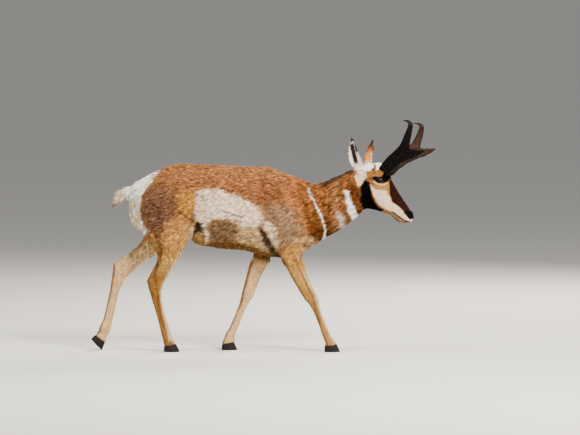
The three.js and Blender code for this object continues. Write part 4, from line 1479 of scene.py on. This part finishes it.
def set_stage():
    """The floor, the sky's light and the lamps."""
    corners = np.array([[-150, -60, 0], [150, -60, 0], [150, 250, 0], [-150, 250, 0]], float)
    floor = piece_from("floor", mesh_from("floor", corners, np.array([[0, 1, 2, 3]])))
    material, tree, shader = new_material("floor", 0.95, 0.1)
    set_inputs(shader, {"Base Color": (0.60, 0.585, 0.56, 1)})
    floor.data.materials.append(material)
    world = bpy.data.worlds.new("studio")
    world.use_nodes = True
    tree = world.node_tree
    back = tree.nodes["Background"]
    set_inputs(back, {"Strength": WORLD_LIGHT})
    way = tree.nodes.new("ShaderNodeTexCoord")
    split = tree.nodes.new("ShaderNodeSeparateXYZ")
    ramp_node = tree.nodes.new("ShaderNodeValToRGB")
    for stop, (position, colour) in zip(ramp_node.color_ramp.elements, SKY):
        stop.position = position
        stop.color = colour
    join_up(
        tree,
        (way, "Generated", split, "Vector"),
        (split, "Z", ramp_node, "Fac"),
        (ramp_node, "Color", back, "Color"),
    )
    bpy.context.scene.world = world
    for name, place, size, power, tint in LIGHTS:
        light = bpy.data.lights.new(name, "AREA")
        light.energy = power
        light.size = size
        light.color = tint
        lamp = piece_from(name, light)
        lamp.location = place
        lamp.rotation_mode = "QUATERNION"
        lamp.rotation_quaternion = (Vector(place) - LIGHTS_AIM).to_track_quat("Z", "Y")


def set_camera():
    """The photo's view: from the right side, a little from above, through a long lens."""
    lens = bpy.data.cameras.new("camera")
    lens.lens = CAMERA_LENS_MM
    lens.sensor_width = CAMERA_SENSOR_MM
    lens.clip_end = 400
    camera = piece_from("camera", lens)
    distance = PHOTO_PIXEL * PHOTO_WIDTH_PIXELS * CAMERA_LENS_MM / CAMERA_SENSOR_MM
    aim = Vector((PHOTO_CENTRE[0], MIDDLE, PHOTO_CENTRE[1] / math.cos(LOOK_DOWN)))
    back = Vector((0, -math.cos(LOOK_DOWN), math.sin(LOOK_DOWN)))
    camera.location = aim + back * distance
    camera.rotation_mode = "QUATERNION"
    camera.rotation_quaternion = back.to_track_quat("Z", "Y")
    bpy.context.scene.camera = camera


def make_animal():
    places, faces = make_skin()
    shares = region_shares(places, edges_of(faces))
    places = body_forms(places, faces, shares)
    for detail in (face_detail, fine_detail):
        places, faces = finer_where(places, faces, detail)
        face_only = ease(in_head(places)[:, 0] / 0.03) * 0.5 * (places[:, 2] < 0.89)
        places = relaxed(places, edges_of(faces), face_only, FACE_ROUNDS)
    places = head_forms(places, faces)
    shares = region_shares(places, edges_of(faces))
    normals = normals_of(places, faces)
    uv = unwrapped(places, faces)

    short_hair, _ = grained_material("short_hair", 420, (1, 1, 0.45), 0.25, 0.0012, 0.8, 0.05)
    skin = piece_from("skin", mesh_from("skin", places, faces))
    layer = skin.data.uv_layers.new(name="OFBake")
    layer.data.foreach_set("uv", uv.astype(np.float32).ravel())
    store_colour(skin.data, coat_colour(places, normals, shares))
    skin.data.materials.append(short_hair)
    finish(skin, "coat", *FLESH)

    hair, _ = grained_material("hair", 500, (1, 1, 1), 0.15, 0.0005, 0.85, 0.03)
    make_coat(places, faces, normals, shares, uv, hair)
    rough_horn, _ = grained_material("rough_horn", 240, (1, 1, 0.3), 0.35, 0.0015, 0.62, 0.05)
    for side in SIDES:
        make_horn(side, rough_horn)
    hoof_horn, _ = grained_material("hoof_horn", 300, (1, 1, 0.25), 0.3, 0.0005, 0.6, 0.12)
    for foot in ("hind_right", "hind_left", "fore_right", "fore_left"):
        make_foot(foot, hoof_horn)
    wet_eye, shader = grained_material("wet_eye", 500, (1, 1, 1), 0.15, 0.00001, 0.10, 0.10)
    set_inputs(shader, {"Coat Weight": 0.08, "Coat Roughness": 0.02})
    tree = lash_tree()
    for side in SIDES:
        make_eye(side, wet_eye)
        make_lashes(side, tree, hair)


set_stage()
set_camera()
make_animal()
